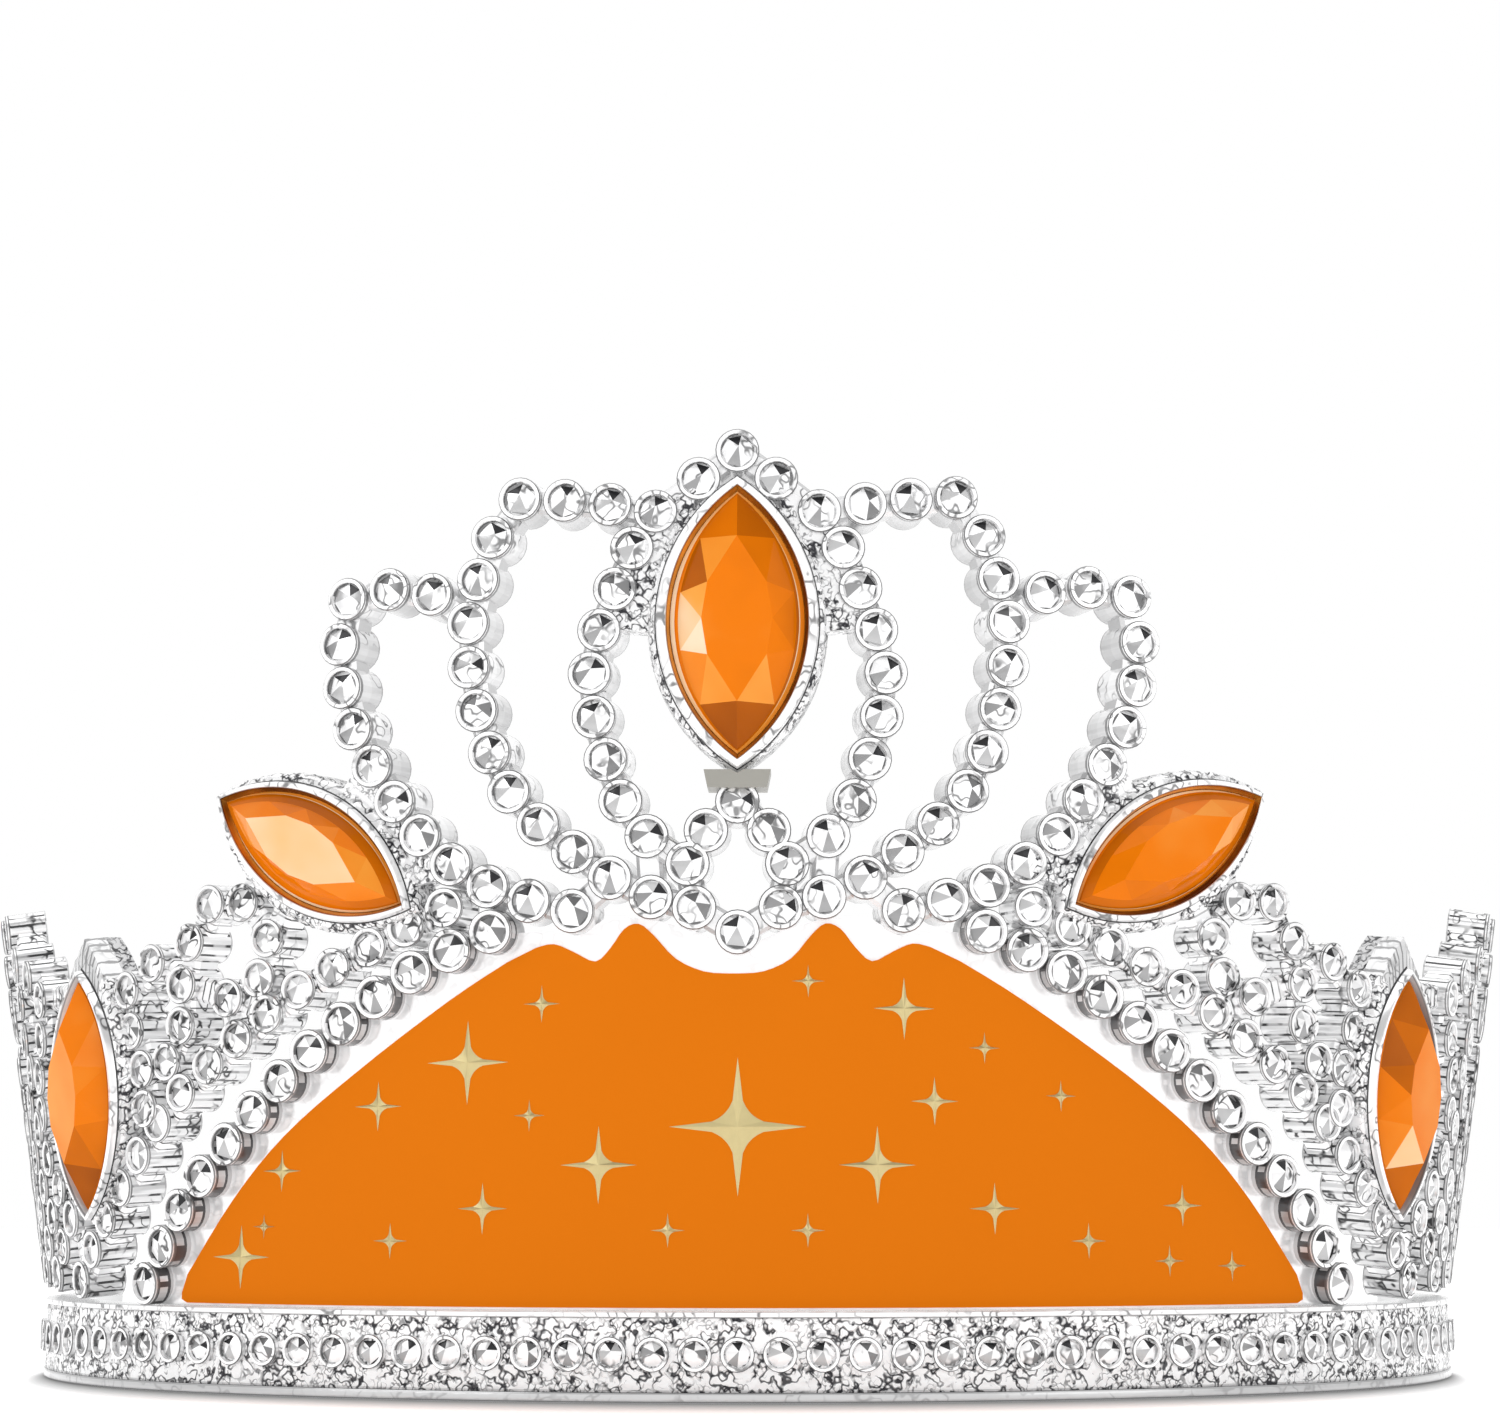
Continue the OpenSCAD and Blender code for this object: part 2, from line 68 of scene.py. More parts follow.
# Rows of drums: how many, and the points that the row runs through. The other lists give each drum's place,
# and PLATE_TOP the plate's edge between its borders.
PLATE_ROW = (13, [(63.1, 10.25), (58, 17.4), (52, 23.7), (42.3, 32.3), (31.2, 39.6), (23.3, 43.2)])
PLATE_TOP = [(19.5, 43.3), (15.4, 42.8), (12.4, 44.6), (8.2, 44.4), (4.1, 43.2), (0, 41.4)]
CREST_ROWS = {
    "shoulder": (4, [(20.5, 84.6), (14, 84), (7.6, 82.9)]),
    "middle": (11, [(23.2, 81), (25.7, 70.5), (21.8, 56.8), (12.2, 48.3), (8, 46.2)]),
    "inner": (8, [(9.8, 79.4), (13.8, 67.3), (10.9, 55.4), (8.4, 51.9)]),
    "wing_top": (3, [(29.2, 75.8), (33.7, 76.6), (38.1, 76)]),
    "wing": (10, [(39, 71.6), (37.6, 63.4), (30.5, 52.7), (23.4, 47.4), (15.4, 45)]),
}
CREST_PEAK = [(3.6, 86), (0, 88.7)]
CREST_RING = [(0, 55.1), (2.9, 52.4), (4.6, 49.3), (4, 45.2), (0, 42.9)]
OPENWORK_LOW = (15, [(27.9, 45.6), (43.4, 38.3), (57.5, 28.9), (66.6, 19.7), (75.7, 10.4)])
LOOP_A = [(47.1, 43.4), (50.1, 47), (54.2, 47.1), (56.6, 43.4), (57.6, 39.3), (51.9, 37.8), (48.1, 39.6)]
LOOP_B = [(57.7, 35.3), (59.6, 31.8), (63, 31.2), (64.4, 35), (65, 39.1), (61.4, 41.6)]
TAIL = (62.7, 27.3)
OPENWORK_END = (8, [(103, 37.5), (106, 27), (107.6, 10.2)])
OPENWORK_FOOT = [
    (7, [(98.4, 32.2), (80.4, 13.7)]), (7, [(101.2, 29.4), (83.2, 10.9)]),
    (5, [(101.1, 23.5), (89.1, 11.2)]), (3, [(101, 17.6), (94.9, 11.5)]),
]

# Webs that close the crest to the settings: place on the wall, then the outline.
CENTRE_WEB = ((9, 77.5), [
    (3.6, 85.4), (7.6, 83.2), (9.8, 79.4), (11.4, 75.5), (12.7, 71.8), (7.4, 71.3), (5, 78)])
FRONT_WEB = ((33, 52.5), [
    (36, 61), (33.1, 55.9), (30.4, 52.6), (27.2, 49.2), (29.2, 48.2), (31.5, 47.5), (34, 50), (38.6, 57.5)])

# Four-pointed stars on the label, in mm: across, up, half size.
STARS = [
    (-25.6, 31.1, 3.95), (-34.4, 27.1, 2.35), (-44.2, 21.1, 2), (-46, 15.8, 1.2), (-48.4, 12.9, 3.05),
    (-18.5, 36.5, 1.75), (-19.6, 26.1, 1.5), (6.6, 38.5, 1.55), (15.6, 36, 2.9), (23.2, 32.4, 1.5),
    (18.4, 27.4, 2.25), (30.5, 28, 1.5), (42.4, 17.8, 2), (41, 12.6, 1.5), (47.4, 12.1, 1.5),
    (0, 25, 6.4), (-13, 21.5, 3.6), (13, 21.5, 3.6), (-24, 17.5, 2.4), (24, 17.5, 2.4),
    (-6.5, 15.5, 1.6), (6.5, 15.5, 1.6), (-33, 14.5, 1.7), (33, 14.5, 1.7),
]

# The band's stones: how many on each side of the middle one, their spacing and their height.
BAND_STONES, BAND_STONE_STEP, BAND_STONE_HEIGHT = 25, 3.91, 4.35
# How far out of the wall's face the plate stands, and a star's outline and its middle.
PLATE_OUT, STAR_OUT, STAR_MIDDLE_OUT = -2.2, -1.84, -1.7


def a_length(name, description, default):
    return FloatProperty(name=name, description=description, default=default, unit="LENGTH")


def an_angle(name, description, degrees):
    default = math.radians(degrees)
    return FloatProperty(name=name, description=description, default=default, unit="ROTATION")


def a_colour(name, description, default):
    return FloatVectorProperty(name=name, description=description, default=default, subtype="COLOR")


class TiaraSizes(bpy.types.PropertyGroup):
    """Sizes of the tiara that a user would change."""

    front_radius: a_length("Front radius", "Radius of the front arc of the band", 0.101)
    side_radius: a_length("Side radius", "Radius of each side arc of the band", 0.0519)
    front_heading: an_angle("Front heading", "Heading at which the side arcs begin", 30.5)
    end_heading: an_angle("End heading", "Heading at which the band ends", 100)
    front_lean: an_angle("Front lean", "Forward lean of the front wall", 2.25)
    side_flare: an_angle("Side flare", "Outward flare of the side walls", 10.8)
    wall_depth: a_length("Wall depth", "Depth of the band and openwork", 0.0042)
    band_height: a_length("Band height", "Height of the base band", 0.0082)
    crest_drum: a_length("Crest drum", "Diameter of a bead drum on the crest", 0.0042)
    side_drum: a_length("Side drum", "Diameter of a bead drum in the sides", 0.0038)
    band_stone: a_length("Band stone", "Diameter of a stone's collet on the band", 0.0032)


class TiaraColours(bpy.types.PropertyGroup):
    """Colours of the tiara that a user would change."""

    silver: a_colour("Silver", "Metallised plastic", (0.95, 0.95, 0.955))
    label: a_colour("Label", "Printed label", (0.79, 0.192, 0.0035))
    gold: a_colour("Gold", "Foil of the stars", (0.62, 0.52, 0.26))
    stone: a_colour("Stone", "Tinted acrylic stones", (0.86, 0.2, 0.002))
    tab: a_colour("Tab", "Plain grey tab", (0.37, 0.36, 0.325))
    floor: a_colour("Floor", "Studio floor", (0.9, 0.9, 0.9))


def sizes():
    return bpy.context.scene.tiara_sizes


def colours():
    return bpy.context.scene.tiara_colours


def smooth_row(points, steps=8):
    """Points of a Catmull-Rom curve through a few points."""
    last = len(points) - 1
    out = []
    for i in range(last):
        a, b, c, d = (points[max(i - 1, 0)], points[i], points[i + 1], points[min(i + 2, last)])
        for k in range(steps + (i == last - 1)):
            t = k / steps
            out.append(tuple(
                (2 * b[n] + (c[n] - a[n]) * t + (2 * a[n] - 5 * b[n] + 4 * c[n] - d[n]) * t ** 2
                 + (3 * b[n] - a[n] - 3 * c[n] + d[n]) * t ** 3) / 2
                for n in (0, 1)))
    return out


def spaced(row):
    """The drums of a row, evenly spaced along its curve."""
    count, through = row
    line = smooth_row(through)
    at = [0.0]
    for p, q in zip(line, line[1:]):
        at.append(at[-1] + math.dist(p, q))
    out, i = [], 0
    for k in range(count):
        want = at[-1] * k / (count - 1)
        while i < len(at) - 2 and at[i + 1] < want:
            i += 1
        t = (want - at[i]) / (at[i + 1] - at[i])
        out.append(tuple(line[i][n] + (line[i + 1][n] - line[i][n]) * t for n in (0, 1)))
    return out


def flipped(beads):
    """The back flank mirrors the front flank."""
    return [(2 * FLANK_MIDDLE - s, z) for s, z in beads]


def mirrored(beads):
    """The left half mirrors the right one."""
    return [(-s, z) for s, z in beads]


class Wall:
    """The curved, flaring wall that every piece stands on. Lengths in mm."""

    def __init__(self):
        size = sizes()
        self.front = size.front_radius / MM
        self.side = size.side_radius / MM
        self.turn = size.front_heading
        self.end = size.end_heading
        self.lean = size.front_lean
        self.flare_side = size.side_flare
        self.depth = size.wall_depth / MM
        self.height = size.band_height / MM
        self.front_length = self.front * self.turn
        self.length = self.front_length + self.side * (self.end - self.turn)

    def heading(self, s):
        if abs(s) < self.front_length:
            return s / self.front
        return math.copysign(self.turn + (abs(s) - self.front_length) / self.side, s)

    def flare(self, h):
        past = max(0.0, abs(h) - self.turn) / (math.pi / 2 - self.turn)
        return self.lean + (self.flare_side - self.lean) * past

    def plan(self, h):
        near, far = min(abs(h), self.turn), max(abs(h), self.turn)
        x = self.front * math.sin(near) + self.side * (math.sin(far) - math.sin(self.turn))
        y = self.front * (1 - math.cos(near)) + self.side * (math.cos(self.turn) - math.cos(far))
        return math.copysign(x, h), y + FACE_Y

    def point(self, s, z, out=0.0):
        """A point of the wall, which is upright up to the band's top and flares above it."""
        h = self.heading(s)
        x, y = self.plan(h)
        push = out + max(0.0, z - self.height) * math.tan(self.flare(h))
        return Vector((x + push * math.sin(h), y - push * math.cos(h), z))

    def seat(self, at, turn=0.0):
        """Local frame on the wall: X along it, -Y out of it, Z up it."""
        h = self.heading(at[0])
        lean = self.flare(h) if at[1] > self.height else 0.0
        return (Matrix.Translation(self.point(*at)) @ Matrix.Rotation(h, 4, "Z")
                @ Matrix.Rotation(lean, 4, "X") @ Matrix.Rotation(turn, 4, "Y"))

    def front_skin(self, x, z, out):
        """A point of the front plate's leaning skin, by its place across."""
        r = self.front + out + (z - self.height) * math.tan(self.lean)
        return Vector((x, FACE_Y + self.front - math.sqrt(r * r - x * x), z))


# Edges that turn more than this look sharp.
SHARP = math.radians(32)


class Shape:
    """Points and faces gathered for one piece, in mm, with a finish number and a tone of painted light and
    shade for each face.
    """

    def __init__(self):
        self.points, self.faces, self.finishes, self.tones = [], [], [], []

    def add(self, points, faces, finish=0, tone=0.5):
        base = len(self.points)
        self.points.extend(points)
        for i, face in enumerate(faces):
            self.faces.append(tuple(base + v for v in face))
            self.finishes.append(finish[i] if isinstance(finish, list) else finish)
            self.tones.append(tone[i] if isinstance(tone, list) else tone)

    def place(self, other, matrix):
        self.add([matrix @ p for p in other.points], other.faces, list(other.finishes), list(other.tones))

    def thing(self, name, finishes, sharp=SHARP):
        """Makes the Blender object of the gathered faces."""
        mesh = bpy.data.meshes.new(name)
        mesh.from_pydata([tuple(p * MM) for p in self.points], [], self.faces)
        for finish in finishes:
            mesh.materials.append(finish)
        mesh.polygons.foreach_set("material_index", self.finishes)
        tone = mesh.attributes.new("tone", "FLOAT", "FACE")
        tone.data.foreach_set("value", self.tones)
        mesh.polygons.foreach_set("use_smooth", [True] * len(self.faces))
        mesh.set_sharp_from_angle(angle=sharp)
        if mesh.validate():
            raise RuntimeError(f"{name} has bad faces")
        thing = bpy.data.objects.new(name, mesh)
        bpy.context.scene.collection.objects.link(thing)
        return thing

    def piece(self, name, finishes, nodes, slot, sharp=SHARP):
        """Makes a piece of the tiara that stands for some of its solids."""
        thing = self.thing(name, finishes, sharp)
        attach(thing, "root")
        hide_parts(*nodes)


def band_faces(rows, count, closed=True):
    """Faces between neighbouring rings of count points each, clockwise as seen from the last ring."""
    faces = []
    for r in range(rows - 1):
        for k in range(count if closed else count - 1):
            m = (k + 1) % count
            faces.append((r * count + k, (r + 1) * count + k, (r + 1) * count + m, r * count + m))
    return faces


# Tones of painted reflection and shade on the facets of a small stone, from its top round. Each drum takes
# one of these.
FACETS = (
    (0.0, 0.95, 1.0, 1.0, 0.35, 0.9, 1.0),
    (0.0, 0.4, 1.0, 1.0, 0.9, 0.5, 1.0),
    (0.6, 0.0, 1.0, 0.95, 1.0, 0.3, 1.0),
    (0.0, 1.0, 0.95, 0.5, 1.0),
    (0.1, 0.9, 0.2, 1.0, 1.0, 0.95),
)
# Walls of a drum. Each ring: share of the radius, height outward, whether it is striped, tone of painted
# reflection and shade up to the next ring, and share of that lost underneath as painted shade. A combed
# wall's stripes are painted shade on the floors of its flutes.
WALLS = {
    "smooth": [
        (1.05, -4.2, 0, 0.4, 0), (1.04, -4.05, 0, 0.92, 0.5),
        (1.02, -2.2, 0, 1.0, 0.5), (1.0, -0.6, 0, 0.3, 0.4),
    ],
    "sunk": [
        (1.05, -3.9, 0, 0.5, 0), (1.02, -1.75, 0, 0.05, 0),
        (1.0, -1.45, 1, 0.8, 0.6), (1.0, -0.5, 0, 0.1, 0),
    ],
    "combed": [
        (1.05, -4.2, 0, 0.6, 0), (1.05, -4.05, 1, 1.0, 0.2),
        (1.02, -2.2, 1, 1.0, 0.2), (1.0, -0.5, 1, 0.9, 0),
    ],
    "short": [(1.0, -1.2, 0, 0.25, 0)],
}
FLUTES = 11
# Share of the radius at the floor of a flute, and the dark tone painted on a stripe, which on a combed wall
# is painted shade on a flute's floor.
FLUTE_FLOOR, STRIPE_TONE = 0.96, 0.06
# The small stone in a drum: share of the drum's radius, and depth of its edge under the rim.
GEM_SHARE, GEM_DEPTH = 0.74, 0.42


def drum_shape(diameter, proud, wall, facets, segments=24):
    """One bead: a plain, striped or fluted drum, a raised rim and a small cut stone. Local -Y is outward."""
    r = diameter / 2
    fluted = wall == "combed"
    if fluted:
        segments = 4 * FLUTES
    # The rim's tones are painted light and shade: dark lines where it turns, light on its top, shade in its
    # hollow.
    rings = WALLS[wall] + [
        (1.0, -0.3, 0, 0.2, 0), (1.0, -0.15, 0, 0.9, 0), (1.0, proud - 0.12, 0, 0.2, 0),
        (0.95, proud, 0, 1.0, 0), (0.8, proud, 0, 0.7, 0), (0.77, proud - 0.1, 0, 0.15, 0),
        (0.75, proud - GEM_DEPTH, 0, 0.3, 0),
    ]
    hollow = len(rings) - 2
    shape = Shape()
    points, tones = [], []
    for i, (share, out, striped, tone, lost) in enumerate(rings):
        for k in range(segments):
            a = 2 * math.pi * k / segments
            q = r * share * (FLUTE_FLOOR if fluted and striped and k % 4 < 2 else 1.0)
            points.append(Vector((q * math.sin(a), -out, q * math.cos(a))))
            if striped and (k % 4 == 0 or wall == "sunk" and k % 8 < 3):
                tones.append(STRIPE_TONE)
            elif i >= hollow and math.cos(a + 0.9) < 0.5:
                # Only the upper left side of the hollow is in shade.
                tones.append(0.85)
            else:
                # Painted shade: the face loses that share of its tone towards the bottom.
                tones.append(tone * (1 - lost * (0.5 - 0.5 * math.cos(a))))
    walls = band_faces(len(rings), segments)
    shape.add(points, walls + [tuple(range(segments))], 0, tones[:len(walls)] + [0.5])
    cuts = len(facets)
    edge = r * GEM_SHARE
    points = [Vector((0.1 * r, -proud + 0.02, 0.2 * r))]
    for k in range(cuts):
        a = 2 * math.pi * (k - 0.5) / cuts
        points.append(Vector((edge * math.sin(a), -proud + GEM_DEPTH, edge * math.cos(a))))
    shape.add(points, [(0, 1 + (k + 1) % cuts, 1 + k) for k in range(cuts)], 0, list(facets))
    return shape


def bar_shape(length, depth, combed):
    """A joining bar along local X with eased edges, plain or with dark lines across it; its tones are painted
    light and shade, the dark lines painted shade as between flutes.
    """
    back, front = 0.4 - depth, 3.5 - depth
    h, e = 1.25, 0.35
    section = [
        (back, -h + e), (back + e, -h), (front - e, -h), (front, -h + e),
        (front, h - e), (front - e, h), (back + e, h), (back, h - e),
    ]
    # Painted light and shade of the section's faces: the front and its upper bevel lit, the rest darker.
    plain = [0.5, 0.45, 0.6, 0.98, 0.85, 0.55, 0.5, 0.45]
    stops = [0.0]
    if combed:
        step, light = 0.85, 0.8
        cells = max(2, round(length / step))
        stops = [(k + share) / cells for k in range(cells) for share in (0.0, light)]
    stops.append(1.0)
    points, tones = [], []
    for k, stop in enumerate(stops):
        points += [Vector(((stop - 0.5) * length, -out, z)) for out, z in section]
        tones += [0.1 if k % 2 else 1.0] * len(section) if combed else plain
    n = len(section)
    faces = band_faces(len(stops), n)
    last = len(points) - n
    shape = Shape()
    shape.add(points, faces + [tuple(range(n)), tuple(range(last, last + n))[::-1]], 0,
              tones[:len(faces)] + [0.5, 0.5])
    return shape


class Openwork:
    """Drums, bars and webs gathered on the wall."""

    def __init__(self, wall, diameter, finish, proud=0.1):
        self.wall, self.shape, self.finish = wall, Shape(), finish
        self.kinds = [drum_shape(diameter, proud, finish, facets) for facets in FACETS]
        self.count = 0

    def drums(self, beads):
        for at in beads:
            self.count += 1
            twist = Matrix.Rotation(0.55 * math.sin(2.4 * self.count), 4, "Y")
            kind = self.kinds[round(1.3 * self.count) % len(self.kinds)]
            self.shape.place(kind, self.wall.seat(at) @ twist)

    def bar(self, p, q):
        run = Vector((q[0] - p[0], q[1] - p[1]))
        middle = ((p[0] + q[0]) / 2, (p[1] + q[1]) / 2)
        seat = self.wall.seat(middle) @ Matrix.Rotation(-math.atan2(run.y, run.x), 4, "Y")
        self.shape.place(bar_shape(run.length, self.wall.depth, self.finish == "combed"), seat)

    def web(self, at, outline):
        """A flat plate that closes a gap, in the rough finish."""
        if sum(p[0] * q[1] - q[0] * p[1] for p, q in zip(outline, outline[1:] + outline[:1])) > 0:
            outline = outline[::-1]
        ring = [(s - at[0], z - at[1]) for s, z in outline]
        n = len(ring)
        back, front = -3.45, -0.35
        points = [Vector((x, -out, z)) for out in (back, front) for x, z in ring]
        faces = band_faces(2, n) + [tuple(range(n)), tuple(range(n, 2 * n))[::-1]]
        shape = Shape()
        shape.add(points, faces, 1, 0.9)
        self.shape.place(shape, self.wall.seat(at))

    def row(self, beads):
        for p, q in zip(beads, beads[1:]):
            self.bar(p, q)

    def both(self, beads):
        self.drums(beads)
        self.row(beads)


def oval_point(u, a, b):
    """A point of a pointed oval, at a share of the way round it clockwise from its top."""
    r = (a * a + b * b) / (2 * a)
    half = math.asin(b / r)
    t = half * (1 - 4 * u) if u < 0.5 else half * (4 * u - 3)
    return (1 if u < 0.5 else -1) * (r * math.cos(t) - (r - a)), r * math.sin(t)


def oval(count, a, b):
    return [oval_point(i / count, a, b) for i in range(count)]


# Seeds the crumpled texture, so that it comes out the same in every run.
CRUMPLE_SEED = 1


def rough(p, size):
    """Lumps and grooves of the crumpled texture, from 0 to 1, at a point in mm."""
    q = p / size
    q = q + 0.55 * noise.noise_vector(q * 0.9)
    near = noise.voronoi(q)[0]
    ridge = min(1.0, (near[1] - near[0]) * 2.2)
    return ridge * (0.65 + 0.35 * noise.noise(q * 1.7))


def setting_shape(a, b, reach, rise, rim, slope, seed):
    """A pointed oval cup: rough skirt, smooth rim and bright slope down to the stone, its tones painted light
    and shade. Local -Y is outward.
    """
    count = 200
    across, along = reach
    tip = rim - 0.15
    lump_size, swell, push = 0.8, 0.22, 0.16
    # Each ring: past the stone across and along, height outward, whether it is lumpy, finish, and tones of
    # painted light and shade at its left and right.
    rings = [
        (across, along, -4.2, 0, 1, 0.6, 0.6), (across, along, -2.4, 1, 1, 0.85, 0.85),
        (across, along, -1.9, 1, 1, 0.9, 0.9), (across, along, -1.4, 1, 1, 0.95, 0.95),
        (across - 0.02, along, -0.9, 1, 1, 1.0, 1.0), (across - 0.06, along, -0.5, 1, 1, 1.0, 1.0),
        (across - 0.2, along - 0.05, -0.15, 1, 1, 1.0, 1.0),
        (across * 0.6 + rim * 0.4, along * 0.6 + rim * 0.4, 0.2, 1, 1, 0.9, 0.9),
        (rim + 0.2, tip + 0.23, 0.3, 0, 0, 0.03, 0.03), (rim + 0.08, tip + 0.1, 0.42, 0, 0, 0.9, 0.9),
        (rim, tip, 0.98, 0, 0, 1.0, 1.0), (rim - 0.1, tip - 0.1, 1.1, 0, 0, 1.0, 1.0),
        (0.1, 0.08, 1.1, 0, 0, 0.5, 0.5), (0.03, 0.0, 1.03, 0, slope, 0.3, 0.1),
        (-0.03, -0.08, 0.9, 0, slope, 0.75, 0.05), (-0.17, -0.3, 0.65, 0, slope, 0.75, 0.05),
        (-0.27, -0.45, 0.4, 0, slope, 0.8, 0.95), (-0.42, -0.7, 0.05, 0, slope, 0.3, 0.3),
    ]
    points, finishes, tones = [], [], []
    for da, db, out, bumpy, finish, left, right in rings:
        lifted = rise * min(1.0, max(0.0, (db - tip) / (along - tip)))
        for x, z in oval(count, a + da, b + db):
            p = Vector((x, -out, z + lifted))
            if bumpy:
                lift = rough(p + Vector((seed, 0, 0)), lump_size) - 0.55
                p += Vector((x, 0, z * 0.4)).normalized() * lift * swell + Vector((0, -lift * push, 0))
            points.append(p)
            if rise and bumpy and z > 0.85 * b:
                # The cap over a risen skirt is smooth, with dark lines across it.
                finishes.append(0)
                tones.append(0.3 if z * 1.6 % 1 < 0.3 else 0.75)
            else:
                finishes.append(finish)
                tones.append(left + (right - left) * (0.5 + 0.5 * x / (a + da)))
    shape = Shape()
    faces = band_faces(len(rings), count)
    last = (len(rings) - 1) * count
    shape.add(points, faces + [tuple(range(count)), tuple(range(last, last + count))[::-1]],
              finishes[:last] + [0, slope], tones[:last] + [0.5, 0.2])
    return shape


# A cut stone's table has a corner at each of these shares of the way round, and below it ten corners
# stand evenly round its edge.
TABLE_CORNERS = (0.0, 0.15, 0.25, 0.35, 0.5, 0.65, 0.75, 0.85)
EDGE_CORNERS = 10


def stone_shape(a, b, look):
    """A cut stone: stepped edge, triangular facets from edge to table, flat table. Local -Y is outward."""
    step = 6
    count = EDGE_CORNERS * step
    band = look["band"]
    # Each ring: inside the stone's outline across and along, height outward, and tones of painted light and
    # shade at the left and right up to the next ring. From the last ring the facets rise.
    rings = [
        (0.35, 0.55, -0.3, 0.1, 0.05), (0.35, 0.55, 0.35, 1.0, 0.62),
        (0.35 + 0.4 * band, 0.55 + 0.22 * band, 0.55, 0.35, 1.0),
        (0.35 + 0.5 * band, 0.55 + 0.27 * band, 0.62, 0.45, 0.25),
        (0.35 + 0.75 * band, 0.55 + 0.35 * band, 0.76, *look.get("dark_step", (0, 0))),
    ]
    if "dark_step" in look:
        rings.append((1.45, 1.85, 1.3, 0, 0))
    points, tones = [], []
    for da, db, out, left, right in rings:
        for k, (x, z) in enumerate(oval(count, a - da, b - db)):
            points.append(Vector((x, -out, z)))
            share = 0.5 + 0.5 * math.sin(2 * math.pi * k / count)
            tones.append(left + (right - left) * share)
    faces = band_faces(len(rings), count)
    shape = Shape()
    edge_at = len(points) - count
    table_at = len(points)
    across, along = look["table_size"]
    for u in TABLE_CORNERS:
        x, z = oval_point(u, a * across, b * along)
        points.append(Vector((x, -look["proud"], z)))
    tones = tones[:len(faces)]
    corners = len(TABLE_CORNERS)
    faces += [tuple(range(count)), tuple(range(table_at, table_at + corners))[::-1]]
    tones += [0.3, look["table"]]
    for k in range(EDGE_CORNERS):
        middle = (k + 0.5) / EDGE_CORNERS
        top = min(range(corners), key=lambda i: abs((TABLE_CORNERS[i] - middle + 0.5) % 1 - 0.5))
        run = [edge_at + (k * step + i) % count for i in range(step + 1)]
        faces.append(tuple(run + [table_at + top])[::-1])
        tones.append(look["mains"][k])
    for k in range(corners):
        m = (k + 1) % corners
        middle = (TABLE_CORNERS[k] + (TABLE_CORNERS[m] or 1.0)) / 2
        apex = edge_at + round(middle * EDGE_CORNERS) * step
        faces.append((table_at + k, apex, table_at + m)[::-1])
        tones.append(look["stars"][k])
    shape.add(points, faces, 0, tones)
    return shape


class Value:
    """A shader number that adds Math nodes as it is used in an expression."""

    def __init__(self, graph, socket):
        self.graph, self.socket = graph, socket

    def math(self, operation, *numbers):
        return self.graph.add("ShaderNodeMath", {"operation": operation}, dict(enumerate(numbers)))

    def __add__(self, other):
        return self.math("ADD", self, other)

    def __sub__(self, other):
        return self.math("SUBTRACT", self, other)

    def __mul__(self, other):
        return self.math("MULTIPLY", self, other)

    def __rsub__(self, other):
        return self.math("SUBTRACT", other, self)

    __radd__, __rmul__ = __add__, __mul__

    def size(self):
        """The value without its sign."""
        return self.math("ABSOLUTE", self)

    def held(self):
        """The value kept between 0 and 1."""
        return self.graph.add("ShaderNodeClamp", {}, {"Value": self})


class Graph:
    """Nodes of one material or world."""

    def __init__(self, tree):
        self.tree = tree
        tree.nodes.clear()

    def add(self, kind, settings, inputs, output=0):
        """Adds a node and gives one of its outputs."""
        node = self.tree.nodes.new(kind)
        for key, value in settings.items():
            setattr(node, key, value)
        for key, value in inputs.items():
            if isinstance(value, Value):
                self.tree.links.new(value.socket, node.inputs[key])
            else:
                node.inputs[key].default_value = value
        return Value(self, node.outputs[output]) if len(node.outputs) else node

    def noise(self, where, scale, detail):
        return self.add("ShaderNodeTexNoise", {}, {"Vector": where, "Scale": scale, "Detail": detail})

    def mix(self, share, first, second):
        """A colour between two colours."""
        return self.add("ShaderNodeMix", {"data_type": "RGBA"}, {0: share, 6: first, 7: second}, 2)

    def place(self):
        return self.add("ShaderNodeTexCoord", {}, {}, 3)

    def tone(self):
        """The tone of painted light and shade that each face was given."""
        settings = {"attribute_type": "GEOMETRY", "attribute_name": "tone"}
        return self.add("ShaderNodeAttribute", settings, {}, 2)

    def step(self, value, low, high):
        """Rises smoothly from 0 at low to 1 at high, or falls where low is the greater."""
        return self.add("ShaderNodeMapRange", {"interpolation_type": "SMOOTHSTEP"},
                        {"Value": value, "From Min": low, "From Max": high})

    def bump(self, height, strength, distance):
        return self.add("ShaderNodeBump", {}, {"Height": height, "Strength": strength, "Distance": distance})

    def finish(self, **sockets):
        """The surface shader. Constants are set on its own sockets."""
        named = {key.replace("_", " "): value for key, value in sockets.items()}
        shader = self.add("ShaderNodeBsdfPrincipled", {}, named)
        self.add("ShaderNodeOutputMaterial", {}, {"Surface": shader})


def material(name):
    made = bpy.data.materials.get(name) or bpy.data.materials.new(name)
    made.use_nodes = True
    return made, Graph(made.node_tree)


def repaint(node, finish):
    """Gives its finish to a solid that is shown as it stands."""
    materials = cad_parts[node].data.materials
    materials.clear()
    materials.append(finish)


def rgba(colour, dim=1.0):
    return (*(c * dim for c in colour), 1)


def strokes(g, where, scale, sharpness, spread):
    """Broken lines, 1 on a line and 0 beside it. Sharper ones are thinner; more spread leaves fewer gaps."""
    line = 1 - ((g.noise(where, scale, 1) - 0.5).size() * sharpness - 0.3).held()
    return line * (g.noise(where, scale * 0.45, 1) * 8 - 4 + spread).held()


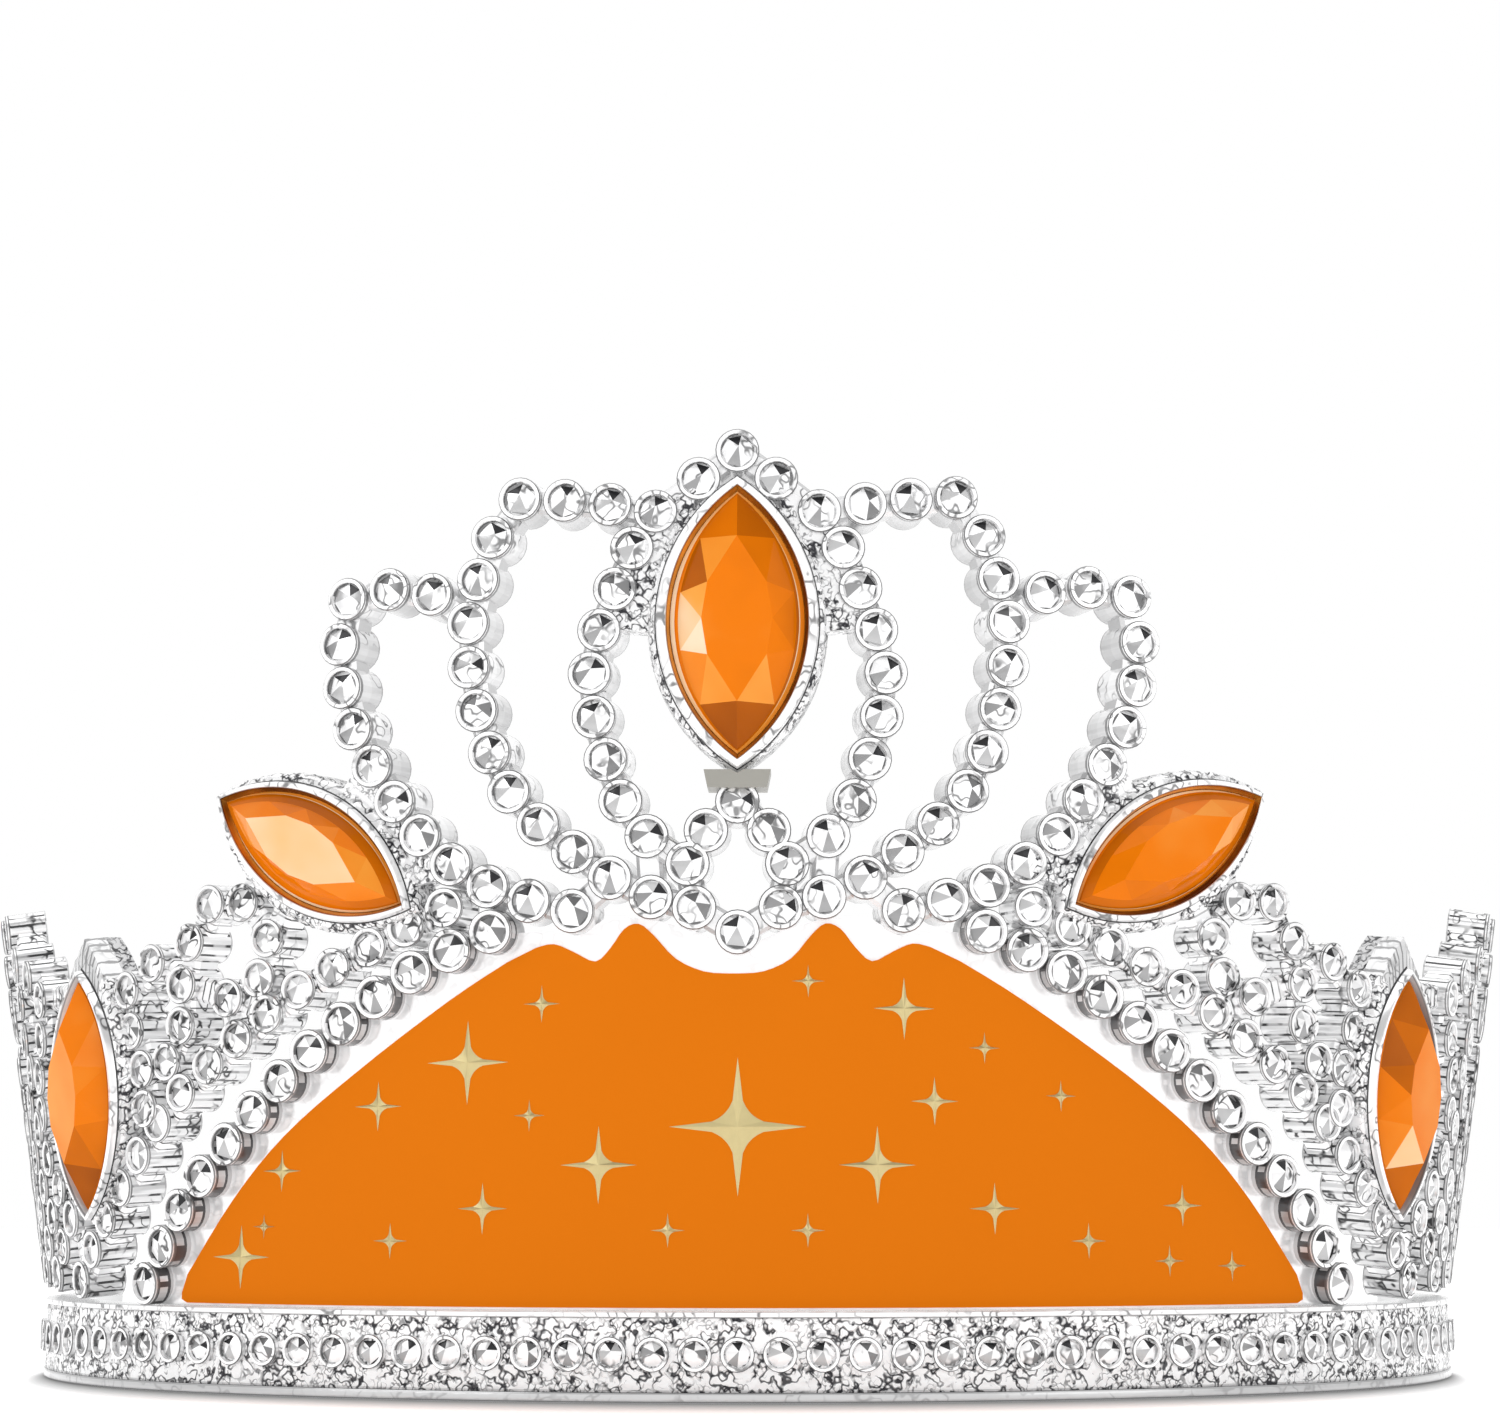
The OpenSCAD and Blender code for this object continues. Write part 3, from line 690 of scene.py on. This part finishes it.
def silver(name, creased, broken=0.0, metallic=0.5):
    """Bright metallised plastic, with painted reflection and shade: the tone of a face says how light its
    part of the room is. Where the dark parts are broken, they show in patches only. Creases show on the light
    parts as painted shade. A faint glow in its own colour is painted light."""
    made, g = material(name)
    where = g.place()
    clouds = g.noise(where, 160, 3)
    tone = g.tone()
    tone = tone + (1 - tone * 4).held() * (g.noise(where, 520, 1) * 9 - 4.3).held() * broken
    lit = (tone * 5 - 3.1).held()
    # Painted shade: dark crease strokes on the lit parts.
    shade = (tone * (1 - strokes(g, where, 620, 26, 0.5) * lit * creased) + clouds * 0.1 - 0.05).held()
    shown = g.mix(shade, (0.02, 0.02, 0.022, 1), rgba(colours().silver))
    g.finish(
        Base_Color=shown,
        Metallic=metallic,
        Roughness=0.1 + clouds * 0.12,
        Normal=g.bump(g.noise(where, 1100, 3), 0.2, 0.0001),
        # Painted light: a faint glow in its own colour lifts the whites.
        Emission_Color=shown,
        Emission_Strength=0.14,
    )
    return made


def silver_plastic():
    return silver("silver_plastic", 0.75)


def smooth_silver():
    return silver("smooth_silver", 0.1)


def border_silver():
    return silver("border_silver", 0.9, metallic=0.15)


def combed_silver():
    return silver("combed_silver", 0.95, 0.7)


def rough_silver():
    """The same plastic crumpled into fine worm-like folds, with painted shade as dark lines where they close.
    """
    made, g = material("rough_silver")
    where = g.place()
    folds = strokes(g, where, 960, 20, 1.0)
    cross = strokes(g, where, 1500, 20, 0.6)
    # Painted shade: the folds and cross strokes darken the colour; the tone adds painted reflection and
    # shade.
    shade = (1 - folds * 0.95 - cross * 0.7).held() * g.tone()
    shown = g.mix(shade, (0.02, 0.02, 0.025, 1), rgba(colours().silver))
    g.finish(
        Base_Color=shown,
        Metallic=0.35,
        Roughness=0.28 - folds * 0.06,
        Normal=g.bump(1 - folds, 0.35, 0.00012),
        # Painted light: a faint glow in its own colour.
        Emission_Color=shown,
        Emission_Strength=0.1,
    )
    return made


def cup_painted_reflection():
    """The inner slope of a setting, painted with the reflection of the stone that it mirrors."""
    made, g = material("cup_painted_reflection")
    clouds = g.noise(g.place(), 260, 2)
    # Painted reflection: the stone's orange mirrored in the slope, with dark brown lines and golden glints.
    shade = (g.tone() + clouds * 0.9 - 0.5).held()
    g.finish(
        Base_Color=g.mix(shade, (0.1, 0.025, 0.001, 1), (1.0, 0.45, 0.05, 1)),
        Metallic=0.6,
        Roughness=0.12 + clouds * 0.1,
    )
    return made


def stone_acrylic():
    """Tinted clear acrylic over foil: each facet shows its own tone of painted light, reflection and shade,
    from deep through rich to pale.
    """
    made, g = material("stone_acrylic")
    where = g.place()
    drift = g.noise(where, 120, 2)
    shade = (g.tone() + drift * 0.3 - 0.15).held()
    rich = g.mix((shade * 2).held(), (0.22, 0.045, 0.001, 1), rgba(colours().stone))
    golden = g.mix((shade * 3.6 - 1.9).held(), rich, (0.95, 0.42, 0.07, 1))
    light = g.mix((shade * 4 - 3).held(), golden, (0.97, 0.76, 0.53, 1))
    g.finish(
        Base_Color=light,
        Roughness=0.06 + drift * 0.02,
        Coat_Weight=(shade * 2 - 1).held() * 0.5,
        Specular_IOR_Level=0.1,
        IOR=1.5,
    )
    return made


def label_print():
    """Flat printed colour with a light gloss and a faint unevenness; its glow in the ink's colour is painted
    light.
    """
    made, g = material("label_print")
    where = g.place()
    drift = g.noise(where, 60, 3)
    fine = g.noise(where, 2500, 2)
    ink = colours().label
    g.finish(
        Base_Color=g.mix(drift, rgba(ink, 0.54), rgba(ink, 0.57)),
        Roughness=0.5 + drift * 0.08,
        Specular_IOR_Level=0.04,
        # Painted light: the label glows in its ink's colour.
        Emission_Color=rgba(ink),
        Emission_Strength=0.42,
        Normal=g.bump(fine, 0.05, 0.00005),
    )
    return made


def star_foil():
    """Pale gold foil with a satin grain."""
    made, g = material("star_foil")
    where = g.place()
    grain = g.noise(where, 1400, 3)
    gold = colours().gold
    g.finish(
        Base_Color=g.mix(grain, rgba(gold, 0.92), rgba(gold, 1.08)),
        Metallic=0.75,
        Roughness=0.3 + grain * 0.12,
        Normal=g.bump(grain, 0.06, 0.00005),
    )
    return made


def tab_plastic():
    """Plain satin grey plastic."""
    made, g = material("tab_plastic")
    where = g.place()
    clouds = g.noise(where, 220, 3)
    grey = colours().tab
    g.finish(
        Base_Color=g.mix(clouds, rgba(grey, 0.92), rgba(grey, 1.06)),
        Metallic=0.35,
        Roughness=0.3 + clouds * 0.12,
        Normal=g.bump(g.noise(where, 1500, 2), 0.06, 0.0001),
    )
    return made


def floor_paper():
    """White paper, darker where the band's foot keeps the light off."""
    made, g = material("floor_paper")
    # Painted shadow: the tone darkens both the paper's colour and its glow near the band's foot.
    tone = g.tone()
    paper = g.mix(g.noise(g.place(), 40, 3), rgba(colours().floor, 0.985), rgba(colours().floor))
    g.finish(
        Base_Color=g.mix(tone, (0, 0, 0, 1), paper),
        Roughness=0.85,
        Specular_IOR_Level=0.1,
        Emission_Color=g.mix(tone, (0, 0, 0, 1), (1, 1, 1, 1)),
        Emission_Strength=0.4,
    )
    return made


class TIARA_OT_studio(bpy.types.Operator):
    """Camera, soft lights, sky and floor"""

    bl_idname = "tiara.studio"
    bl_label = "Studio"

    def execute(self, context):
        scene = context.scene
        self.camera(scene)
        self.sky(scene)
        self.lamps(scene)
        self.floor()
        scene.view_settings.view_transform = "Standard"
        return {"FINISHED"}

    def floor(self):
        """A wide floor, with a painted soft shadow round the outside of the band's foot."""
        half, floor_down, margin_down = 3000.0, 0.05, 0.03
        wide, painted_shadow_strip, wall = Shape(), Shape(), Wall()
        square = ((-half, -half), (half, -half), (half, half), (-half, half))
        wide.add([Vector((x, y, -floor_down)) for x, y in square], [(0, 1, 2, 3)], 0, 1.0)
        steps, columns = 28, 160
        points, tones = [], []
        for c in range(columns + 1):
            s = wall.length * (2 * c / columns - 1)
            h = wall.heading(s)
            reach = 1.3 + 15.5 * max(0.0, math.cos(h)) ** 2
            for k in range(steps + 1):
                f = k / steps
                p = wall.point(s, 0, f * reach - 0.4)
                points.append(Vector((p.x, p.y, -margin_down)))
                # Painted shadow: darkest at the band's foot, fading to none across the strip.
                tones.append(min(1.0, 0.2 + f ** 1.05))
        rows = steps + 1
        faces = [face[::-1] for face in band_faces(columns + 1, rows, False)]
        painted_shadow_strip.add(points, faces, 0, [tones[f[0]] for f in faces])
        for name, shape in (("floor", wide), ("floor_painted_shadow", painted_shadow_strip)):
            shape.thing(name, [floor_paper()])

    def camera(self, scene):
        """Stands where the photograph was taken from: low, close and looking a little up."""
        sensor, focal_pixels, picture_pixels = 36, 2873, 1500
        across, distance, up = 4.92, 268.6, 17.0
        pitch, yaw = math.radians(10), 0.014
        lens = bpy.data.cameras.new("camera")
        lens.sensor_width = sensor
        lens.lens = sensor * focal_pixels / picture_pixels
        lens.clip_start, lens.clip_end = 0.01, 50
        eye = bpy.data.objects.new("camera", lens)
        eye.location = Vector((across, FACE_Y - distance, up)) * MM
        eye.rotation_euler = (math.pi / 2 + pitch, 0, yaw)
        scene.collection.objects.link(eye)
        scene.camera = eye

    def sky(self, scene):
        """White behind the tiara; in front a softly shaded room with dark screens that the facets pick up."""
        scene.world = bpy.data.worlds.new("studio")
        scene.world.use_nodes = True
        g = Graph(scene.world.node_tree)
        where = g.add("ShaderNodeTexCoord", {}, {}, 0)
        across, ahead, up = (g.add("ShaderNodeSeparateXYZ", {}, {0: where}, i) for i in range(3))
        ceiling = g.step(up, 0.5, 0.6) * g.step(up, 0.9, 0.84) * g.step(ahead, -0.1, -0.25)
        sides = g.step(across.size(), 0.8, 0.9) * g.step(up, 0.4, 0.25)
        shade = (ceiling * 0.9 + sides * 0.3).held()
        light = g.mix(shade, (1, 1, 1, 1), (0.03, 0.03, 0.035, 1))
        back = g.add("ShaderNodeBackground", {}, {"Color": light, "Strength": 1.0})
        g.add("ShaderNodeOutputWorld", {}, {"Surface": back})

    def lamps(self, scene):
        """One large soft light above, and one at each side, aimed at the tiara."""
        target = Vector((0, 0, 0.04))
        for name, place, size, power in (
            ("top_light", (0.0, 0.0, 1.2), 1.2, 2.4),
            ("left_light", (-0.7, -0.7, 0.5), 0.5, 1.2),
            ("right_light", (0.7, -0.7, 0.35), 0.4, 0.4),
        ):
            lamp = bpy.data.lights.new(name, "AREA")
            lamp.energy, lamp.size = power, size
            thing = bpy.data.objects.new(name, lamp)
            thing.location = place
            thing.rotation_euler = (target - Vector(place)).to_track_quat("-Z", "Y").to_euler()
            scene.collection.objects.link(thing)


class TIARA_OT_band(bpy.types.Operator):
    """The curved band with its rough strip and its row of small stones"""

    bl_idname = "tiara.band"
    bl_label = "Base band"

    def execute(self, context):
        wall = Wall()
        self.strip(wall).piece("band", [silver_plastic(), rough_silver()], ["base_band"], "silver_plastic")
        return {"FINISHED"}

    def strip(self, wall):
        """One profile carried along the wall, with rounded ends, and the row of stones."""
        top, depth = wall.height, wall.depth
        first, last, step = 1.15, top - 0.65, 0.25
        lump_height, lump_size = 0.12, 0.6
        # Each row of the profile: outward, height, whether it is lumpy, finish, tone of painted light and
        # shade.
        rows = [
            (-depth, 0.15, 0, 0, 0.6), (-depth + 0.15, 0, 0, 0, 0.4), (-0.2, 0, 0, 0, 0.5),
            (-0.02, 0.15, 0, 0, 0.7), (0, 0.75, 0, 0, 0.45), (-0.06, 0.9, 0, 0, 0.1), (-0.2, 0.95, 0, 1, 0.7),
        ]
        count = round((last - first) / step)
        rows += [(-0.2, first + (last - first) * k / count, 1, 1, 1.0) for k in range(count + 1)]
        rows += [
            (-0.2, top - 0.6, 0, 0, 0.2), (-0.06, top - 0.57, 0, 0, 0.6), (0, top - 0.48, 0, 0, 1),
            (0, top - 0.12, 0, 0, 0.7), (-0.12, top, 0, 0, 0.7), (-depth + 0.15, top, 0, 0, 0.6),
            (-depth, top - 0.15, 0, 0, 0.6),
        ]
        steps, cap_steps = 900, 6
        columns = [(-wall.length + 2 * wall.length * k / steps, 1.0) for k in range(steps + 1)]
        angles = [math.pi / 2 * k / cap_steps for k in range(1, cap_steps)]
        cap = [(depth / 2 * math.sin(a), math.cos(a)) for a in angles]
        columns += [(wall.length + d, squeeze) for d, squeeze in cap]
        columns = [(-wall.length - d, squeeze) for d, squeeze in reversed(cap)] + columns
        points, finishes, tones = [], [], []
        for s, squeeze in columns:
            for out, z, bumpy, finish, tone in rows:
                if bumpy:
                    out += lump_height * rough(Vector((s, 0, z)), lump_size)
                out = -depth / 2 + (out + depth / 2) * squeeze
                points.append(wall.point(s, z, out))
                finishes.append(finish)
                tones.append(tone)
        shape = Shape()
        n = len(rows)
        faces = band_faces(len(columns), n)
        ends = [tuple(range(n)), tuple(range(len(points) - n, len(points)))[::-1]]
        last = (len(columns) - 1) * n
        shape.add(points, faces + ends, finishes[:last] + [0, 0], tones[:last] + [0.5, 0.5])
        proud, segments = 0.42, 20
        beads = [drum_shape(sizes().band_stone / MM, proud, "short", facets, segments) for facets in FACETS]
        for i in range(-BAND_STONES, BAND_STONES + 1):
            seat = wall.seat((i * BAND_STONE_STEP, BAND_STONE_HEIGHT), 0.5 * math.sin(2.1 * i))
            shape.place(beads[round(1.3 * i) % len(beads)], seat)
        return shape


class TIARA_OT_plate(bpy.types.Operator):
    """The arched front plate with its border of drums"""

    bl_idname = "tiara.plate"
    bl_label = "Front plate"

    def execute(self, context):
        wall = Wall()
        border = spaced(PLATE_ROW)
        work = Openwork(wall, sizes().crest_drum / MM, "sunk")
        for beads in (border, mirrored(border)):
            work.drums(beads)
        self.sheet(wall, work.shape, border)
        work.shape.piece("plate", [border_silver(), smooth_silver()], ["front_plate"], "silver_plastic")
        return {"FINISHED"}

    def sheet(self, wall, shape, border):
        """The plate behind the label, from the band's top to the middle of the border's drums."""
        low = wall.height + 0.05
        edge = [(wall.point(border[0][0], 0, PLATE_OUT).x, low)]
        edge += [(p.x, p.z) for p in (wall.point(s, z, PLATE_OUT) for s, z in border + PLATE_TOP)]
        edge.sort()
        columns, rows = 200, 24
        reach = edge[-1][0]
        points = []
        for out in (PLATE_OUT, -wall.depth):
            for c in range(columns + 1):
                x = -reach + 2 * reach * c / columns
                top = self.height_at(edge, abs(x))
                points += [wall.front_skin(x, low + (top - low) * r / rows, out) for r in range(rows + 1)]
        grid = rows + 1
        half = len(points) // 2
        # Tones are painted light and shade: near white on the front face, darker on the back and edges.
        faces, tones = [], []
        for c in range(columns):
            for r in range(rows):
                a, b = c * grid + r, (c + 1) * grid + r
                faces += [(a, b, b + 1, a + 1), (half + a, half + a + 1, half + b + 1, half + b)]
                tones += [0.97, 0.5]
            a, b = c * grid, (c + 1) * grid
            faces += [(a, half + a, half + b, b), (a + rows, b + rows, half + b + rows, half + a + rows)]
            tones += [0.6, 0.6]
        shape.add(points, faces, 1, tones)

    @staticmethod
    def height_at(edge, x):
        """Height of the plate's edge at x."""
        for (x0, z0), (x1, z1) in zip(edge, edge[1:]):
            if x <= x1:
                return z0 + (z1 - z0) * (x - x0) / (x1 - x0)
        return edge[-1][1]


class TIARA_OT_label(bpy.types.Operator):
    """The printed label and its raised stars"""

    bl_idname = "tiara.label"
    bl_label = "Label and stars"

    def execute(self, context):
        wall = Wall()
        repaint("label", label_print())
        shape = Shape()
        pinch, arm = 0.42, 8
        n = 4 * arm
        for x, z, half in STARS:
            points = [wall.front_skin(x, z, STAR_MIDDLE_OUT + 0.02 * half)]
            for k in range(n):
                t = math.pi / 2 * (k % arm) / arm
                a = t + math.pi / 2 * (k // arm)
                r = half * (math.cos(t) ** pinch + math.sin(t) ** pinch) ** (-1 / pinch)
                points.append(wall.front_skin(x + r * math.cos(a), z + r * math.sin(a), STAR_OUT))
            shape.add(points, [(0, 1 + k, 1 + (k + 1) % n) for k in range(n)])
        shape.piece("stars", [star_foil()], ["label_stars"], "star_foil", math.radians(2))
        return {"FINISHED"}


class TIARA_OT_crest(bpy.types.Operator):
    """The fan of curved bars of drums round the centre stone"""

    bl_idname = "tiara.crest"
    bl_label = "Crest"

    def execute(self, context):
        work = Openwork(Wall(), sizes().crest_drum / MM, "smooth")
        rows = {name: spaced(row) for name, row in CREST_ROWS.items()}
        shoulder, middle, inner = rows["shoulder"], rows["middle"], rows["inner"]
        wing_top, wing = rows["wing_top"], rows["wing"]
        joins = [
            (shoulder[0], middle[0]), (shoulder[3], inner[0]), (shoulder[3], CREST_PEAK[0]),
            (CREST_PEAK[0], CREST_PEAK[1]), (wing_top[0], middle[2]), (wing_top[2], wing[0]),
            (inner[7], middle[10]), (inner[7], CREST_RING[2]), (middle[10], CREST_RING[3]),
            (wing[9], middle[9]),
        ]
        for side in (list, mirrored):
            for row in rows.values():
                work.both(side(row))
            work.row(side(CREST_RING))
            work.drums(side([CREST_PEAK[0]] + CREST_RING[1:4]))
            for at, outline in (CENTRE_WEB, FRONT_WEB):
                work.web(side([at])[0], side(outline))
            for p, q in joins:
                work.bar(*side([p, q]))
        work.drums([CREST_PEAK[1], CREST_RING[0], CREST_RING[4]])
        work.shape.piece("crest_drums", [silver_plastic(), rough_silver()], ["crest"], "silver_plastic")
        return {"FINISHED"}


class TIARA_OT_openwork(bpy.types.Operator):
    """The pierced sides"""

    bl_idname = "tiara.openwork"
    bl_label = "Side openwork"

    def execute(self, context):
        for name, side in (("right", list), ("left", mirrored)):
            work = Openwork(Wall(), sizes().side_drum / MM, "combed")
            low, end = spaced(OPENWORK_LOW), spaced(OPENWORK_END)
            back_a, back_b, back_low = flipped(LOOP_A), flipped(LOOP_B), flipped(low[8:13])
            foot = [spaced(row) for row in OPENWORK_FOOT]
            for row in (low, LOOP_A, LOOP_B, back_a, back_b, back_low, end, *foot):
                work.both(side(row))
            joins = [(back_low[i], foot[0][i + 2]) for i in range(5)]
            joins += [(foot[0][i], foot[1][i]) for i in range(7)]
            joins += [(foot[1][i + 1], foot[2][i]) for i in range(5)]
            joins += [(foot[2][i + 1], foot[3][i]) for i in range(3)]
            joins += [(foot[1][0], end[2]), (foot[3][0], end[5])]
            joins += [
                (LOOP_A[5], low[6]), (LOOP_A[5], low[5]), (LOOP_B[1], low[8]), (TAIL, low[9]),
                (low[11], (low[11][0] + 5, low[11][1] + 2)),
                (back_low[3], (back_low[3][0] - 5, back_low[3][1] + 2)),
                (back_b[1], back_low[0]), (back_a[6], end[0]), (back_low[4], low[14]),
                (LOOP_A[0], (45.5, 46.5)), (low[2], (35.5, 45.5)), (LOOP_A[1], (48.5, 50.5)),
            ]
            for a, b, tail in ((LOOP_A, LOOP_B, TAIL), (back_a, back_b, flipped([TAIL])[0])):
                work.drums(side([tail]))
                joins += [(a[6], a[0]), (a[4], b[0]), (b[5], a[4]), (b[2], tail)]
                joins += [(at, (SIDE[0], at[1])) for at in (b[2], b[4], tail)]
            for p, q in joins:
                work.bar(*side([p, q]))
            work.shape.piece(f"{name}_drums", [combed_silver()], [f"{name}_openwork"], "silver_plastic")
        return {"FINISHED"}


# Each seat: place on the wall, turn, half width and half length of its stone, reach of its skirt past that
# and how far the skirt rises at its ends, width of its rim, and finish of its slope.
SEATS = {
    "centre": (CENTRE, 0.0, 6.7, 13.1, (1.9, 1.2), 0, 0.95, 2),
    "right_front": (FRONT, FRONT_TURN, 5.1, 11.8, (1.9, 1.2), 0, 0.65, 2),
    "left_front": ((-FRONT[0], FRONT[1]), -FRONT_TURN, 5.1, 11.8, (1.9, 1.2), 0, 0.65, 2),
    "right_side": (SIDE, 0.0, 6.3, 12.1, (0.95, 2.4), 1.4, 0.55, 0),
    "left_side": ((-SIDE[0], SIDE[1]), 0.0, 6.3, 12.1, (0.95, 2.4), 1.4, 0.55, 0),
}
# Width of each stone's stepped edge, height of its table, the table's size as shares of the stone, and tones
# of
# painted light, reflection and shade: of the table, then of the facets on the table's sides and of those on
# the edge's sides, clockwise from the upper tip. A dark step is one more, with its tones at the left and
# right.
LOOKS = {
    "centre": {
        "band": 1.0, "proud": 2.7, "table_size": (0.5, 0.6), "table": 0.52,
        "stars": (0.42, 0.5, 0.5, 0.72, 0.68, 0.98, 0.74, 0.68),
        "mains": (0.25, 0.42, 0.45, 0.5, 0.22, 0.18, 0.6, 0.86, 0.2, 0.42),
    },
    "right_front": {
        "band": 0.6, "proud": 2.7, "table_size": (0.5, 0.58), "table": 0.53, "dark_step": (0.22, 0.4),
        "stars": (0.74, 0.5, 0.48, 0.46, 0.48, 0.5, 0.52, 0.64),
        "mains": (0.7, 0.45, 0.42, 0.44, 0.5, 0.48, 0.5, 0.42, 0.44, 0.6),
    },
    "left_front": {
        "band": 0.6, "proud": 2.7, "table_size": (0.52, 0.6), "table": 0.87, "dark_step": (0.42, 0.18),
        "stars": (0.5, 0.5, 0.54, 0.6, 0.56, 0.48, 0.5, 0.62),
        "mains": (0.5, 0.42, 0.4, 0.48, 0.64, 0.56, 0.5, 0.44, 0.46, 0.56),
    },
    "right_side": {
        "band": 0.6, "proud": 3.1, "table_size": (0.5, 0.55), "table": 0.56,
        "stars": (0.5, 0.5, 0.6, 0.55, 0.9, 0.55, 0.25, 0.3),
        "mains": (0.3, 0.5, 0.55, 0.55, 0.25, 0.3, 0.6, 0.5, 0.2, 0.22),
    },
    "left_side": {
        "band": 0.6, "proud": 3.1, "table_size": (0.5, 0.55), "table": 0.62,
        "stars": (0.5, 0.55, 0.5, 0.3, 0.3, 0.9, 0.85, 0.6),
        "mains": (0.5, 0.55, 0.5, 0.4, 0.12, 0.2, 0.35, 0.8, 0.7, 0.55),
    },
}


class TIARA_OT_settings(bpy.types.Operator):
    """The five pointed oval cups"""

    bl_idname = "tiara.settings"
    bl_label = "Settings"

    def execute(self, context):
        wall = Wall()
        for k, (name, (at, turn, a, b, reach, rise, rim, slope)) in enumerate(SEATS.items()):
            shape = Shape()
            shape.place(setting_shape(a, b, reach, rise, rim, slope, 7.3 * k), wall.seat(at, turn))
            shape.piece(f"{name}_cup", [silver_plastic(), rough_silver(), cup_painted_reflection()], [f"{name}_setting"],
                        "silver_plastic")
        return {"FINISHED"}


class TIARA_OT_stones(bpy.types.Operator):
    """The five cut stones"""

    bl_idname = "tiara.stones"
    bl_label = "Stones"

    def execute(self, context):
        wall = Wall()
        for name, (at, turn, a, b, *_) in SEATS.items():
            shape = Shape()
            shape.place(stone_shape(a, b, LOOKS[name]), wall.seat(at, turn))
            shape.piece(f"{name}_cut_stone", [stone_acrylic()], [f"{name}_stone"], "stone_plastic",
                        math.radians(1))
        return {"FINISHED"}


class TIARA_OT_tab(bpy.types.Operator):
    """The plain grey tab under the centre setting"""

    bl_idname = "tiara.tab"
    bl_label = "Centre tab"

    def execute(self, context):
        repaint("centre_tab", tab_plastic())
        return {"FINISHED"}


class TIARA_PT_panel(bpy.types.Panel):
    """Lists the tiara's sizes, colours and pieces"""

    bl_idname = "TIARA_PT_panel"
    bl_label = "Tiara"
    bl_space_type = "VIEW_3D"
    bl_region_type = "UI"
    bl_category = "Tiara"

    def draw(self, context):
        for group in (context.scene.tiara_sizes, context.scene.tiara_colours):
            column = self.layout.column()
            for name in group.__annotations__:
                column.prop(group, name)
        for step in STEPS:
            self.layout.operator(step.bl_idname)


STEPS = (
    TIARA_OT_studio, TIARA_OT_band, TIARA_OT_plate, TIARA_OT_label, TIARA_OT_crest, TIARA_OT_openwork,
    TIARA_OT_settings, TIARA_OT_stones, TIARA_OT_tab,
)
CLASSES = (TiaraSizes, TiaraColours, *STEPS, TIARA_PT_panel)


def register():
    for part in CLASSES:
        bpy.utils.register_class(part)
    bpy.types.Scene.tiara_sizes = PointerProperty(type=TiaraSizes)
    bpy.types.Scene.tiara_colours = PointerProperty(type=TiaraColours)


def unregister():
    del bpy.types.Scene.tiara_colours
    del bpy.types.Scene.tiara_sizes
    for part in reversed(CLASSES):
        bpy.utils.unregister_class(part)


def main():
    noise.seed_set(CRUMPLE_SEED)
    register()
    for step in STEPS:
        family, name = step.bl_idname.split(".")
        getattr(getattr(bpy.ops, family), name)()


if __name__ == "__main__":
    main()
